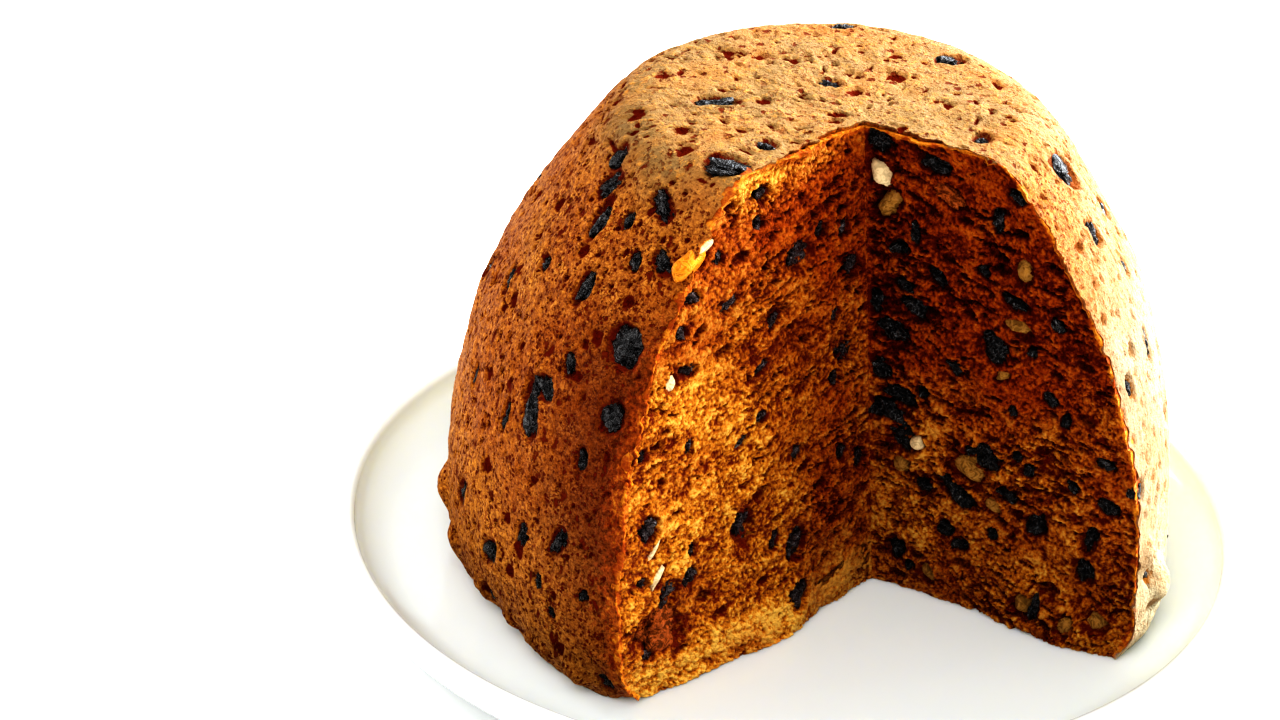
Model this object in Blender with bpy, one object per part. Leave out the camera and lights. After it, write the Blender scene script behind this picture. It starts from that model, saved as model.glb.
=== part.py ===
"""A steamed Christmas pudding with one slice cut out, standing on its round white plate.

The plate is a turned dish on a foot ring. The pudding is one solid: a dome with the slice's
wedge taken away, and the dried fruit and nuts that show in its skin and in its two cut faces
fused on. Sizes are in metres. The origin is the middle of the plate's foot on the table, +Z is
up, and the slice is missing from the -Y side. Angles are in degrees round the pudding's own
axis, from +X towards +Y.
"""
import math
import random

import bmesh
import bpy
from mathutils import Matrix, Vector, noise

MM = 0.001

# Plate
PLATE_RADIUS = 118.2 * MM       # out to the lip
PLATE_HEIGHT = 18.0 * MM
WELL_RADIUS = 103.0 * MM        # of the flat inside
WELL_TOP = 8.0 * MM
PLATE_THICKNESS = 4.5 * MM
LIP_THICKNESS = 4.0 * MM
FOOT_RADIUS = 68.5 * MM         # to the middle of the foot ring
FOOT_WIDTH = 5.0 * MM
PLATE_STEPS = 60

# Pudding
GAP = 0.3 * MM                  # between the pudding and the plate
PUDDING_X = 4.1 * MM            # its axis, from the middle of the plate
PUDDING_Y = -4.8 * MM
BASE_Z = WELL_TOP + GAP
PUDDING_HEIGHT = 130.8 * MM
WIDEST_RADIUS = 93.8 * MM
WIDEST_HEIGHT = 15.7 * MM
BASE_TUCK = 5.2 * MM            # how far the foot of the wall draws in
SHOULDER_HEIGHT = 123.0 * MM
SHOULDER_RADIUS = 57.7 * MM
WALL_POWER = 2.4                # how late the wall turns inwards
CORNER_LENGTH = 9.0 * MM        # of the rounding, from the corner of wall and top each way
TOP_CROWN = 1.0 * MM            # rise of the top towards its middle
PUDDING_STEPS = 72
RING_STEP = 7.5 * MM
SWELL_SIZE = 34.0 * MM          # of the slow swells in the wall
SWELL_DEPTH = 0.7 * MM
LUMP_SIZE = 14.0 * MM
LUMP_DEPTH = 0.6 * MM

# The missing slice: its inner edge at the base and at the top, from the pudding's axis,
# and the directions of its two faces at the base and at the top
EDGE_BASE = Vector((18.9, -11.5, 0.0)) * MM
EDGE_TOP = Vector((8.1, -11.4, 130.8)) * MM
LEFT_FACE = (229.8, 229.2)
RIGHT_FACE = (-22.9, -25.7)
FACE_REACH = 118.0 * MM
FACE_STEP = 7.5 * MM
CUTTER_REACH = 210.0 * MM
CUTTER_OVERSHOOT = 12.0 * MM
TEAR_SIZE = 15.0 * MM           # of the waves that the knife tore in the crumb
TEAR_DEPTH = 1.5 * MM

# Fruit in the skin: angle, height above the base, length, width and lean from upright
# (millimetres and degrees)
WALL_FRUIT = (
    (-154, 124, 9, 6, 20), (-150, 119, 9, 6, -10), (-146, 113, 13, 5, 0), (-138, 116, 5, 4, 20),
    (-154, 97, 5, 4, 0), (-140, 99, 10, 5, -8), (-131, 109, 6, 4, 20), (-125, 111, 8, 5, 60),
    (-126, 92, 12, 11, 30), (-131, 121, 11, 6, 50), (-141, 68, 18, 6, 20), (-147, 62, 9, 3, 0),
    (-124, 77, 9, 7, 0), (-128, 64, 7, 4, 0), (-146, 25, 10, 6, -30), (-138, 37, 8, 4, 0),
    (-130, 41, 10, 5, -25), (-124, 30, 4, 4, 0), (-130, 21, 4, 3, 0), (-136, 83, 7, 4, 30),
    (-162, 62, 7, 3, 0), (-10, 121, 14, 8, 35), (-15, 108, 8, 5, 0), (-8, 95, 6, 4, 0),
    (-12, 78, 9, 4, 0), (-24, 75, 7, 4, 10), (-26, 49, 6, 4, 0),
)
# Fruit in the top: angle, distance from the axis, length, width and turn
TOP_FRUIT = (
    (-170, 29, 12, 6, 10), (45, 41, 9, 6, 20), (97, 9, 6, 4, 0), (-23, 40, 6, 5, 70),
    (-118, 32, 6, 5, 0), (89, 46, 8, 5, 10), (-122, 46, 13, 8, -20),
)
# Lumps that stand out of the wall low down: angle, height, length, width, lean and how proud
BASE_LUMPS = (
    (-171, 21, 15, 12, 10, 2.6), (-163, 12, 13, 11, 0, 2.2), (-152, 8, 12, 9, 40, 2.0),
    (-143, 7, 10, 8, 70, 1.8), (-134, 6.5, 12, 8, 80, 2.0), (-125, 6.5, 11, 9, 60, 2.4),
    (-23, 28, 13, 9, 10, 2.6), (-18, 17, 14, 10, -30, 3.0), (60, 9, 13, 10, 60, 2.0),
    (118, 8, 12, 9, 50, 2.0), (168, 12, 12, 10, 20, 2.2), (20, 12, 12, 9, 30, 2.2),
)
# Fruit and nuts in the left cut face: distance from the inner edge, height, length, width, lean
LEFT_CUT_FRUIT = (
    (47, 33, 10, 6, 5), (80, 47, 7, 5, 10), (68, 29, 6, 5, 0), (74, 26, 8, 7, 30),
    (80, 19, 14, 11, 60), (84, 12, 7, 4, 60), (21, 100, 9, 7, 20), (64, 85, 7, 4, 70),
    (69, 113, 14, 7, -35), (27, 14, 10, 5, 20), (37, 95, 6, 4, 0), (24, 56, 7, 4, 30),
)
# Fruit and nuts in the right cut face, in the same order
RIGHT_CUT_FRUIT = (
    (4, 118, 10, 9, 0), (18, 93, 8, 5, 40), (40, 92, 10, 5, 60), (36, 79, 11, 7, 60),
    (-6, 59, 10, 7, 0), (7, 56, 12, 8, 30), (8, 44, 10, 6, 0), (33, 48, 11, 7, 50),
    (26, 33, 10, 4, 65), (38, 37, 6, 3, 70), (46, 30, 7, 5, 20), (21, 22, 7, 4, 30),
    (7, 13, 7, 6, 0), (25, 18, 6, 5, 0), (61, 30, 10, 5, 10), (42, 102, 9, 6, 30),
    (27, 41, 10, 7, 60), (58, 60, 7, 4, 50),
)
FRUIT_PROUD = 0.8 * MM
FRUIT_DEPTH = 5.0 * MM
SMALL_FRUIT = 7.5 * MM          # below this length a piece has few sides
FRUIT_UNEVEN = 0.16
SCATTERED_FRUIT = 64            # tries on the back and sides, by a turning rule
SCATTER_TURN = 137.5
SCATTER_LOW = 9.0 * MM
SCATTER_HIGH = 119.0 * MM
FRUIT_CLEAR = 15.0 * MM         # between one piece in the skin and the next
CUT_CLEAR = 9.0 * MM            # from a scattered piece to the cut
SCATTER_SEED = 25

PUDDING_COLOUR = (0.40, 0.13, 0.03, 1.0)
PLATE_COLOUR = (0.86, 0.86, 0.84, 1.0)


def clear_scene():
    for obj in list(bpy.data.objects):
        bpy.data.objects.remove(obj, do_unlink=True)


def make_material(name, colour, roughness):
    material = bpy.data.materials.new(name)
    material.use_nodes = True
    shader = material.node_tree.nodes["Principled BSDF"]
    shader.inputs["Base Color"].default_value = colour
    shader.inputs["Roughness"].default_value = roughness
    shader.inputs["Metallic"].default_value = 0.0
    return material


def add_object(name, bm, collection=None):
    """Turn a bmesh into an object of the scene, or of a collection."""
    mesh = bpy.data.meshes.new(name)
    bm.to_mesh(mesh)
    bm.free()
    obj = bpy.data.objects.new(name, mesh)
    (collection or bpy.context.scene.collection).objects.link(obj)
    return obj


def turn_profile(profile, steps, centre):
    """Spin a profile of (radius, height) points, from the axis to the axis, about a vertical axis."""
    bm = bmesh.new()
    verts = [bm.verts.new((centre.x + radius, centre.y, height)) for radius, height in profile]
    edges = [bm.edges.new(pair) for pair in zip(verts, verts[1:])]
    bmesh.ops.spin(bm, geom=verts + edges, cent=centre, axis=(0, 0, 1), angle=2 * math.pi,
                   steps=steps, use_duplicate=False)
    bmesh.ops.remove_doubles(bm, verts=bm.verts, dist=0.001 * MM)
    bmesh.ops.recalc_face_normals(bm, faces=bm.faces)
    return bm


def arc(centre, radii, start, end, count):
    """Points of an elliptical arc in the profile plane, angles in degrees."""
    points = []
    for step in range(count + 1):
        angle = math.radians(start + (end - start) * step / count)
        points.append((centre[0] + radii[0] * math.cos(angle), centre[1] + radii[1] * math.sin(angle)))
    return points


def plate_profile():
    """From the middle of the underside, round the lip, to the middle of the top."""
    under = WELL_TOP - PLATE_THICKNESS
    foot_in = FOOT_RADIUS - FOOT_WIDTH / 2
    foot_out = FOOT_RADIUS + FOOT_WIDTH / 2
    lip_z = PLATE_HEIGHT - LIP_THICKNESS / 2
    lip_r = PLATE_RADIUS - LIP_THICKNESS / 2
    outer_wall = (PLATE_RADIUS - WELL_RADIUS, lip_z - under)
    inner_wall = (lip_r - LIP_THICKNESS / 2 - WELL_RADIUS, lip_z - WELL_TOP)
    points = [(0.0, under), (foot_in - MM, under), (foot_in, 0.0), (foot_out, 0.0)]
    points += [(foot_out + MM, under)]
    points += arc((WELL_RADIUS, lip_z), outer_wall, -90, 0, 5)
    points += arc((lip_r, lip_z), (LIP_THICKNESS / 2, LIP_THICKNESS / 2), 0, 180, 5)[1:]
    points += arc((WELL_RADIUS, lip_z), inner_wall, 0, -90, 5)[1:]
    points += [(0.0, WELL_TOP)]
    return points


def make_plate(material):
    bm = turn_profile(plate_profile(), PLATE_STEPS, Vector((0, 0, 0)))
    plate = add_object("plate", bm)
    plate.data.materials.append(material)
    plate.data.shade_smooth()
    plate.data.set_sharp_from_angle(angle=math.radians(35))
    return plate


def wall_radius(height):
    """Radius of the pudding's wall at a height above its base, before any unevenness."""
    if height < WIDEST_HEIGHT:
        return WIDEST_RADIUS - BASE_TUCK * (1 - height / WIDEST_HEIGHT) ** 2
    share = (height - WIDEST_HEIGHT) / (SHOULDER_HEIGHT - WIDEST_HEIGHT)
    return WIDEST_RADIUS - (WIDEST_RADIUS - SHOULDER_RADIUS) * share ** WALL_POWER


def pudding_profile():
    """Up the wall, round the corner and over the top, with the base flat and closed."""
    share = WALL_POWER * (WIDEST_RADIUS - SHOULDER_RADIUS) / (SHOULDER_HEIGHT - WIDEST_HEIGHT)
    lean = math.atan(share)
    corner_r = SHOULDER_RADIUS - (PUDDING_HEIGHT - SHOULDER_HEIGHT) * math.tan(lean)
    corner = Vector((corner_r, PUDDING_HEIGHT))
    start = corner + CORNER_LENGTH * Vector((math.sin(lean), -math.cos(lean)))
    end = corner - Vector((CORNER_LENGTH, 0))
    rings = math.ceil(start.y / RING_STEP)
    points = [(0.0, 0.0), (WIDEST_RADIUS / 2, 0.0)]
    points += [(wall_radius(start.y * ring / rings), start.y * ring / rings) for ring in range(rings)]
    for step in range(5):
        t = step / 4
        points.append(tuple((1 - t) ** 2 * start + 2 * t * (1 - t) * corner + t * t * end))
    for share in (0.7, 0.4, 0.0):
        points.append((end.x * share, PUDDING_HEIGHT + TOP_CROWN * (1 - share ** 2)))
    return points


def unevenness(point):
    """How far the pudding's skin stands out or in at a point."""
    swell = noise.noise(point / SWELL_SIZE) * SWELL_DEPTH
    lump = noise.noise(point / LUMP_SIZE + Vector((7, 3, 1))) * LUMP_DEPTH
    return swell + lump


def make_dome():
    """The whole pudding before it is cut, with its base at BASE_Z."""
    centre = Vector((PUDDING_X, PUDDING_Y, 0))
    profile = [(radius, height + BASE_Z) for radius, height in pudding_profile()]
    bm = turn_profile(profile, PUDDING_STEPS, centre)
    bm.normal_update()
    moves = []
    for vert in bm.verts:
        move = vert.normal * unevenness(vert.co)
        if vert.co.z < BASE_Z + 0.01 * MM:
            move.z = 0
        moves.append(move)
    for vert, move in zip(bm.verts, moves):
        vert.co += move
    return add_object("pudding", bm)


def cut_place(face, distance, height):
    """A point on one flat cut face, and that face's direction away from the inner edge."""
    share = height / PUDDING_HEIGHT
    edge = EDGE_BASE.lerp(EDGE_TOP, share)
    edge.z = height
    angle = math.radians(face[0] + (face[1] - face[0]) * share)
    direction = Vector((math.cos(angle), math.sin(angle), 0))
    origin = Vector((PUDDING_X, PUDDING_Y, BASE_Z))
    return origin + edge + direction * distance, direction


def cut_normal(face, direction):
    """The way out of the pudding through a cut face."""
    turn = 1 if face is LEFT_FACE else -1
    return Vector((-direction.y, direction.x, 0)) * turn


def torn_point(face, distance, height):
    """A point of a cut face after tearing, which leaves the inner edge where it is."""
    point, direction = cut_place(face, distance, height)
    fade = min(1.0, distance / TEAR_SIZE)
    tear = noise.noise(point / TEAR_SIZE) * TEAR_DEPTH * fade
    return point + cut_normal(face, direction) * tear


def make_wedge():
    """The missing slice as a closed solid that reaches past the wall, the top and the base."""
    columns = math.ceil(FACE_REACH / FACE_STEP)
    distances = [FACE_REACH * step / columns for step in range(columns + 1)] + [CUTTER_REACH]
    low, high = -CUTTER_OVERSHOOT, PUDDING_HEIGHT + CUTTER_OVERSHOOT
    rows = math.ceil((high - low) / FACE_STEP)
    heights = [low + (high - low) * step / rows for step in range(rows + 1)]
    bm = bmesh.new()
    inner = [bm.verts.new(torn_point(LEFT_FACE, 0, height)) for height in heights]
    grids = []
    for face in (LEFT_FACE, RIGHT_FACE):
        grid = [inner]
        for distance in distances[1:]:
            grid.append([bm.verts.new(torn_point(face, distance, height)) for height in heights])
        grids.append(grid)
        for near, far in zip(grid, grid[1:]):
            for row in range(rows):
                bm.faces.new((near[row], far[row], far[row + 1], near[row + 1]))
    left, right = grids
    for row in range(rows):
        bm.faces.new((left[-1][row], right[-1][row], right[-1][row + 1], left[-1][row + 1]))
    for row in (0, rows):
        outline = [column[row] for column in left] + [column[row] for column in right[:0:-1]]
        bm.faces.new(outline)
    bmesh.ops.recalc_face_normals(bm, faces=bm.faces)
    return add_object("missing_slice", bm)


def apply_boolean(obj, operation, cutter=None, collection=None):
    """Cut or join an object with another one, or with all of a collection."""
    modifier = obj.modifiers.new(operation.lower(), "BOOLEAN")
    modifier.operation = operation
    modifier.solver = "EXACT"
    if collection:
        modifier.operand_type = "COLLECTION"
        modifier.collection = collection
    else:
        modifier.object = cutter
    bpy.context.view_layer.objects.active = obj
    bpy.ops.object.modifier_apply(modifier=modifier.name)


def wall_seat(angle, height):
    """A frame on the wall: across, up the slope and straight out."""
    turned = math.radians(angle)
    out = Vector((math.cos(turned), math.sin(turned), 0))
    step = MM
    slope = (wall_radius(height + step) - wall_radius(max(height - step, 0))) / (2 * step)
    place = Vector((PUDDING_X, PUDDING_Y, BASE_Z + height)) + out * wall_radius(height)
    normal = Vector((out.x, out.y, -slope)).normalized()
    across = Vector((-out.y, out.x, 0))
    return place, across, normal.cross(across), normal


def top_seat(angle, distance):
    turned = math.radians(angle)
    out = Vector((math.cos(turned), math.sin(turned), 0))
    place = Vector((PUDDING_X, PUDDING_Y, BASE_Z + PUDDING_HEIGHT)) + out * distance
    return place, Vector((0, 1, 0)), Vector((-1, 0, 0)), Vector((0, 0, 1))


def cut_seat(face, distance, height):
    place, direction = cut_place(face, distance, height)
    normal = cut_normal(face, direction)
    up = Vector((0, 0, 1))
    return place, up.cross(normal), up, normal


def add_fruit(collection, seat, length, width, lean, proud, depth):
    """One uneven piece on a seat, sunk until it stands proud by the stated height."""
    place, across, along, normal = seat
    turned = Matrix.Rotation(math.radians(lean), 3, normal)
    across, along = turned @ across, turned @ along
    bm = bmesh.new()
    if length < SMALL_FRUIT:
        bmesh.ops.create_uvsphere(bm, u_segments=6, v_segments=4, radius=1.0)
    else:
        bmesh.ops.create_icosphere(bm, subdivisions=2, radius=1.0)
    centre = place + normal * (proud - depth / 2)
    for vert in bm.verts:
        shape = vert.co * (1 + FRUIT_UNEVEN * noise.noise(vert.co * 1.3 + centre / (3 * MM)))
        spread = across * shape.x * width / 2 + along * shape.y * length / 2
        vert.co = centre + spread + normal * shape.z * depth / 2
        vert.co.z = max(vert.co.z, BASE_Z)
    return add_object("fruit", bm, collection)


def in_slice(place, height):
    """Whether a place at a height is in the missing slice, or near it."""
    for face in (LEFT_FACE, RIGHT_FACE):
        edge, direction = cut_place(face, 0, height)
        if (place - edge).dot(cut_normal(face, direction)) < -CUT_CLEAR:
            return False
    return True


def scattered_places():
    """Angles and heights for the rest of the skin, clear of the pieces set by hand and of the cut."""
    rng = random.Random(SCATTER_SEED)
    taken = [wall_seat(angle, height * MM)[0] for angle, height, *_ in WALL_FRUIT + BASE_LUMPS]
    places = []
    for number in range(SCATTERED_FRUIT):
        share = (number + 0.5) / SCATTERED_FRUIT
        angle = number * SCATTER_TURN + rng.uniform(-9, 9)
        height = SCATTER_LOW + (SCATTER_HIGH - SCATTER_LOW) * share + rng.uniform(-4, 4) * MM
        length, width = rng.uniform(6, 11) * MM, rng.uniform(4, 6) * MM
        lean = rng.uniform(-40, 40)
        place = wall_seat(angle, height)[0]
        if in_slice(place, height) or min((place - other).length for other in taken) < FRUIT_CLEAR:
            continue
        taken.append(place)
        places.append((angle, height, length, width, lean))
    return places


def make_fruit():
    """All the pieces that are fused to the pudding, in a collection of their own."""
    collection = bpy.data.collections.new("fruit")
    bpy.context.scene.collection.children.link(collection)
    for angle, height, length, width, lean in WALL_FRUIT:
        seat = wall_seat(angle, height * MM)
        add_fruit(collection, seat, length * MM, width * MM, lean, FRUIT_PROUD, FRUIT_DEPTH)
    for angle, distance, length, width, lean in TOP_FRUIT:
        seat = top_seat(angle, distance * MM)
        add_fruit(collection, seat, length * MM, width * MM, lean, FRUIT_PROUD, FRUIT_DEPTH)
    for angle, height, length, width, lean, proud in BASE_LUMPS:
        seat = wall_seat(angle, height * MM)
        add_fruit(collection, seat, length * MM, width * MM, lean, proud * MM, 2 * FRUIT_DEPTH)
    for face, pieces in ((LEFT_FACE, LEFT_CUT_FRUIT), (RIGHT_FACE, RIGHT_CUT_FRUIT)):
        for distance, height, length, width, lean in pieces:
            seat = cut_seat(face, distance * MM, height * MM)
            add_fruit(collection, seat, length * MM, width * MM, lean, 2 * FRUIT_PROUD, FRUIT_DEPTH)
    for angle, height, length, width, lean in scattered_places():
        seat = wall_seat(angle, height)
        add_fruit(collection, seat, length, width, lean, FRUIT_PROUD, FRUIT_DEPTH)
    return collection


def keep_outer_skin(mesh):
    """Drop sealed hollows and loose scraps, so that one closed body is left."""
    bm = bmesh.new()
    bm.from_mesh(mesh)
    bmesh.ops.remove_doubles(bm, verts=bm.verts, dist=0.005 * MM)
    bmesh.ops.dissolve_degenerate(bm, edges=bm.edges, dist=0.01 * MM)
    bmesh.ops.triangulate(bm, faces=bm.faces)
    unseen = set(bm.verts)
    islands = []
    while unseen:
        front = [unseen.pop()]
        island = set(front)
        while front:
            for edge in front.pop().link_edges:
                for vert in edge.verts:
                    if vert in unseen:
                        unseen.remove(vert)
                        island.add(vert)
                        front.append(vert)
        islands.append(island)
    islands.sort(key=len)
    loose = [vert for island in islands[:-1] for vert in island]
    bmesh.ops.delete(bm, geom=loose, context="VERTS")
    bm.to_mesh(mesh)
    bm.free()


def make_pudding(material):
    pudding = make_dome()
    wedge = make_wedge()
    apply_boolean(pudding, "DIFFERENCE", cutter=wedge)
    bpy.data.objects.remove(wedge, do_unlink=True)
    fruit = make_fruit()
    apply_boolean(pudding, "UNION", collection=fruit)
    for piece in list(fruit.objects):
        bpy.data.objects.remove(piece, do_unlink=True)
    bpy.data.collections.remove(fruit)
    keep_outer_skin(pudding.data)
    pudding.data.materials.clear()
    pudding.data.materials.append(material)
    pudding.data.shade_smooth()
    pudding.data.set_sharp_from_angle(angle=math.radians(40))
    return pudding


def main():
    clear_scene()
    make_plate(make_material("white_porcelain", PLATE_COLOUR, 0.15))
    make_pudding(make_material("fruit_pudding", PUDDING_COLOUR, 0.6))


main()
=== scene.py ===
"""Looks of a steamed Christmas pudding with one slice cut out, on its white plate.

The pudding is a skin and a crumb. The skin is a grid laid over the dome, from the missing
slice's inner edge out over the top and down the wall, with pits, pores and a hollow for each
piece of fruit. The crumb fills it and shows in the two cut faces. Fruit, nuts and peel lie in
both. Sizes are metres in the frame of the solids, and angles are degrees round the pudding's
own axis, from +X towards +Y. Lists of single pieces are in millimetres and degrees.
"""
import math
import random

import bpy
import numpy as np
from mathutils import Matrix, Vector, noise


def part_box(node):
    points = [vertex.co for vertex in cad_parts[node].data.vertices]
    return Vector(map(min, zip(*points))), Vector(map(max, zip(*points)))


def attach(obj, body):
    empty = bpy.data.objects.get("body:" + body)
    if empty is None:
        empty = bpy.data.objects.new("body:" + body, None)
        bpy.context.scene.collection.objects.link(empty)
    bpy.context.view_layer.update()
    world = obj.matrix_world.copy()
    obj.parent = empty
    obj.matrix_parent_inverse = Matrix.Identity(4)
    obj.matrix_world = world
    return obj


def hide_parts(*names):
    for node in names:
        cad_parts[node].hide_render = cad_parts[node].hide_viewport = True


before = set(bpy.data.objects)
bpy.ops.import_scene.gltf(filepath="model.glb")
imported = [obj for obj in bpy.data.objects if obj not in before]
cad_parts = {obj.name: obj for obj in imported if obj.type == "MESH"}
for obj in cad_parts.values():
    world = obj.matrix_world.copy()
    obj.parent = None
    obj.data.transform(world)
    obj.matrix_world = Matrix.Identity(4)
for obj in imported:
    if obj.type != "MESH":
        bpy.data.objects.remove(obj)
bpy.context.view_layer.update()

bl_info = {
    "name": "Christmas Pudding",
    "version": (1, 0, 0),
    "blender": (4, 5, 0),
    "location": "3D View > Sidebar > Pudding",
    "description": "Dresses a cut Christmas pudding and its plate",
    "category": "Object",
}

MM = 0.001

# The pudding's form, as in its solids
PUDDING_X = 4.1 * MM
PUDDING_Y = -4.8 * MM
AXIS = np.array((PUDDING_X, PUDDING_Y))
BASE_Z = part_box("pudding")[0][2]
PUDDING_HEIGHT = 130.8 * MM
WIDEST_RADIUS = 93.8 * MM
WIDEST_HEIGHT = 15.7 * MM
BASE_TUCK = 5.2 * MM
SHOULDER_HEIGHT = 123.0 * MM
SHOULDER_RADIUS = 57.7 * MM
WALL_POWER = 2.4
CORNER_LENGTH = 9.0 * MM
TOP_CROWN = 1.0 * MM
SWELL_SIZE = 34.0 * MM
SWELL_DEPTH = 0.7 * MM
LUMP_SIZE = 14.0 * MM
LUMP_DEPTH = 0.6 * MM

# The missing slice
EDGE_BASE = np.array((18.9, -11.5)) * MM
EDGE_TOP = np.array((8.1, -11.4)) * MM
LEFT_FACE = (229.8, 229.2)
RIGHT_FACE = (-22.9, -25.7)
# Left corner of the foot: how far it is pushed in, to the left and up, over what width, how
# suddenly, and what share of itself height counts for in that width
FOOT_CORNER = (3.4 * MM, 2.6 * MM, 1.6 * MM, 11 * MM, 2.5, 0.8)
# Foot of the wall: middle angle, spread, how far it is pushed out, and up to what height
FOOT_WALLS = ((-148, 13, -3.3 * MM, 24 * MM), (-17, 12, 4.6 * MM, 26 * MM))
# Foot of the cuts: face, middle from the inner edge, spread, and how proud it stands
FOOT_SWELLS = ((LEFT_FACE, 42 * MM, 20 * MM, 4.5 * MM), (RIGHT_FACE, 51 * MM, 19 * MM, 6.0 * MM))
FOOT_SWELL_HEIGHT = 20 * MM
# Where the two fade: by distance from the axis, and by distance from the cut
FOOT_WALL_FADE = (50 * MM, 75 * MM)
FOOT_SWELL_FADE = (4 * MM, 26 * MM)
TEAR_SIZE = 15.0 * MM
TEAR_DEPTH = 1.5 * MM

# Fruit in the skin: angle, height above the base, length, width and lean from upright
WALL_FRUIT = (
    (-154, 124, 9, 6, 20), (-150, 119, 9, 6, -10), (-146, 113, 13, 5, 0), (-138, 116, 5, 4, 20),
    (-154, 97, 5, 4, 0), (-140, 99, 10, 5, -8), (-131, 109, 6, 4, 20), (-125, 111, 8, 5, 60),
    (-126, 92, 12, 11, 30), (-131, 121, 11, 6, 50), (-141, 68, 18, 6, 20), (-147, 62, 9, 3, 0),
    (-124, 77, 9, 7, 0), (-128, 64, 7, 4, 0), (-146, 25, 10, 6, -30), (-138, 37, 8, 4, 0),
    (-130, 41, 10, 5, -25), (-124, 30, 4, 4, 0), (-130, 21, 4, 3, 0), (-136, 83, 7, 4, 30),
    (-162, 62, 7, 3, 0), (-10, 121, 14, 8, 35), (-15, 108, 8, 5, 0), (-8, 95, 6, 4, 0),
    (-12, 78, 9, 4, 0), (-24, 75, 7, 4, 10), (-26, 49, 6, 4, 0), (-139.5, 75, 9, 6, 60),
    (-134, 6, 7, 5, 80), (-127, 5, 7, 5, 60), (-149, 10, 6, 5, 60), (-133, 28, 5, 3, 20),
    (-119.5, 6, 7, 6, 0), (-22, 23, 9, 6, 30),
)
# Fruit in the top: angle, distance from the axis, length, width and turn
TOP_FRUIT = (
    (-170, 29, 12, 6, 10), (45, 41, 9, 6, 20), (97, 9, 6, 4, 0), (-23, 40, 6, 5, 70),
    (-118, 32, 6, 5, 0), (89, 46, 8, 5, 10), (-122, 46, 13, 8, -20),
)
# Lumps that stand out of the wall low down: angle, height, length, width, lean and how proud
BASE_LUMPS = (
    (-171, 21, 15, 12, 10, 2.6), (-163, 12, 13, 11, 0, 2.2), (-152, 8, 12, 9, 40, 2.0),
    (-143, 7, 10, 8, 70, 1.8), (-134, 6.5, 12, 8, 80, 2.0), (-125, 6.5, 11, 9, 60, 2.4),
    (-23, 28, 13, 9, 10, 2.6), (-18, 17, 14, 10, -30, 3.0), (60, 9, 13, 10, 60, 2.0),
    (118, 8, 12, 9, 50, 2.0), (168, 12, 12, 10, 20, 2.2), (20, 12, 12, 9, 30, 2.2),
)
# Fruit in the left cut face: distance from the inner edge, height, length, width, lean
LEFT_CUT_FRUIT = (
    (38, 116, 5, 4, 60), (16, 107, 5, 4, 0), (81, 68, 4, 3, 0), (80, 47, 8, 6, 5),
    (47, 34, 12, 8, 5), (27, 48, 5, 4, 0), (30, 8, 9, 7, -30), (40, 63, 4, 4, 0),
    (11, 42, 5, 4, 0), (8, 104, 5, 4, 0), (5, 93, 6, 5, 0), (8, 70, 8, 6, 60), (4, 38, 6, 5, 0),
)
# Redder fruit in the left cut face, in the same order
LEFT_RED_FRUIT = (
    (24, 102, 10, 8, 80), (36, 123, 5, 4, 0), (49, 98, 8, 4, -65), (34, 88, 6, 3, -50),
    (67, 28, 6, 6, 0), (75, 26, 10, 7, -30), (29, 22, 11, 6, -25), (36, 26, 6, 3, -25),
    (83, 33, 4, 3, 70), (83, 12, 5, 3, 70), (65, 64, 5, 3, 0), (66, 96, 5, 4, 70),
    (64, 85, 6, 4, 70), (39, 77, 6, 3, -65), (47, 59, 6, 3, -60), (12, 64, 5, 4, 60),
    (52, 111, 4, 3, 0), (66, 36, 5, 3, 0), (62, 104, 6, 4, 80), (12, 82, 5, 4, 0),
)
# Fruit in the right cut face, in the same order
RIGHT_CUT_FRUIT = (
    (9, 99, 5, 5, 0), (14, 105, 7, 3, 10), (19, 94, 7, 4, 50), (10, 89, 6, 3, 70),
    (2, 82, 8, 5, 0), (13, 83, 9, 5, 60), (7, 75, 11, 6, 70), (36, 114, 8, 3, 0),
    (32, 99, 4, 3, 60), (41, 93, 8, 4, 70), (35, 78, 11, 7, 50), (45, 80, 4, 3, 0),
    (3, 63, 7, 5, 60), (8, 57, 11, 5, 75), (2, 51, 6, 5, 0), (50, 68, 5, 3, 60),
    (15, 60, 4, 4, 0), (5, 52, 11, 6, 70), (9, 45, 10, 8, 10), (28, 47, 4, 3, 0),
    (33, 46, 10, 6, 45), (41, 49, 4, 3, 0), (44, 46, 4, 3, 0), (15, 32, 5, 4, 60),
    (25, 33, 12, 5, 62), (38, 37, 7, 3, 75), (21, 22, 6, 5, 40), (34, 24, 4, 3, 0),
    (25, 18, 5, 5, 0), (46, 30, 7, 6, 0), (7, 12, 8, 6, 20), (11, 8, 4, 3, 0),
    (61, 31, 9, 4, -15), (59, 21, 8, 6, 0), (66, 42, 7, 4, 70), (65, 54, 7, 3, 80),
    (54, 63, 4, 3, 0), (40, 62, 4, 3, 0), (45, 7, 8, 3, 0),
    (24, 70, 6, 3, 60), (52, 90, 5, 3, 40), (19, 125, 9, 5, 80), (56, 45, 5, 3, 60),
    (3, 127, 9, 7, 85), (41, 122, 6, 4, 60),
)
# Almonds in the cut faces: long, pale and close to the light
LEFT_ALMONDS = ((56.8, 115, 8, 3.2, -77), (70, 83.5, 5, 4, 20), (78.5, 41, 7, 2.2, -40),
                (78, 32.5, 8, 2.6, -35))
RIGHT_ALMONDS = ((4, 118, 8, 6.5, 10), (13, 44, 5, 4, 0))
# Browner nuts in the right cut face
RIGHT_NUTS = (
    (6, 110, 10, 6, -40), (43, 102, 8, 5, 10), (41, 86, 9, 5, 75), (37, 71, 5, 3, -60),
    (28, 41, 10, 8, 60), (8, 36, 6, 5, 30), (34, 32, 6, 4, 40), (16, 7, 7, 4, 20),
    (42, 7, 6, 6, 0), (53, 5, 6, 5, 0), (61, 8, 7, 6, 80),
)
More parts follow.
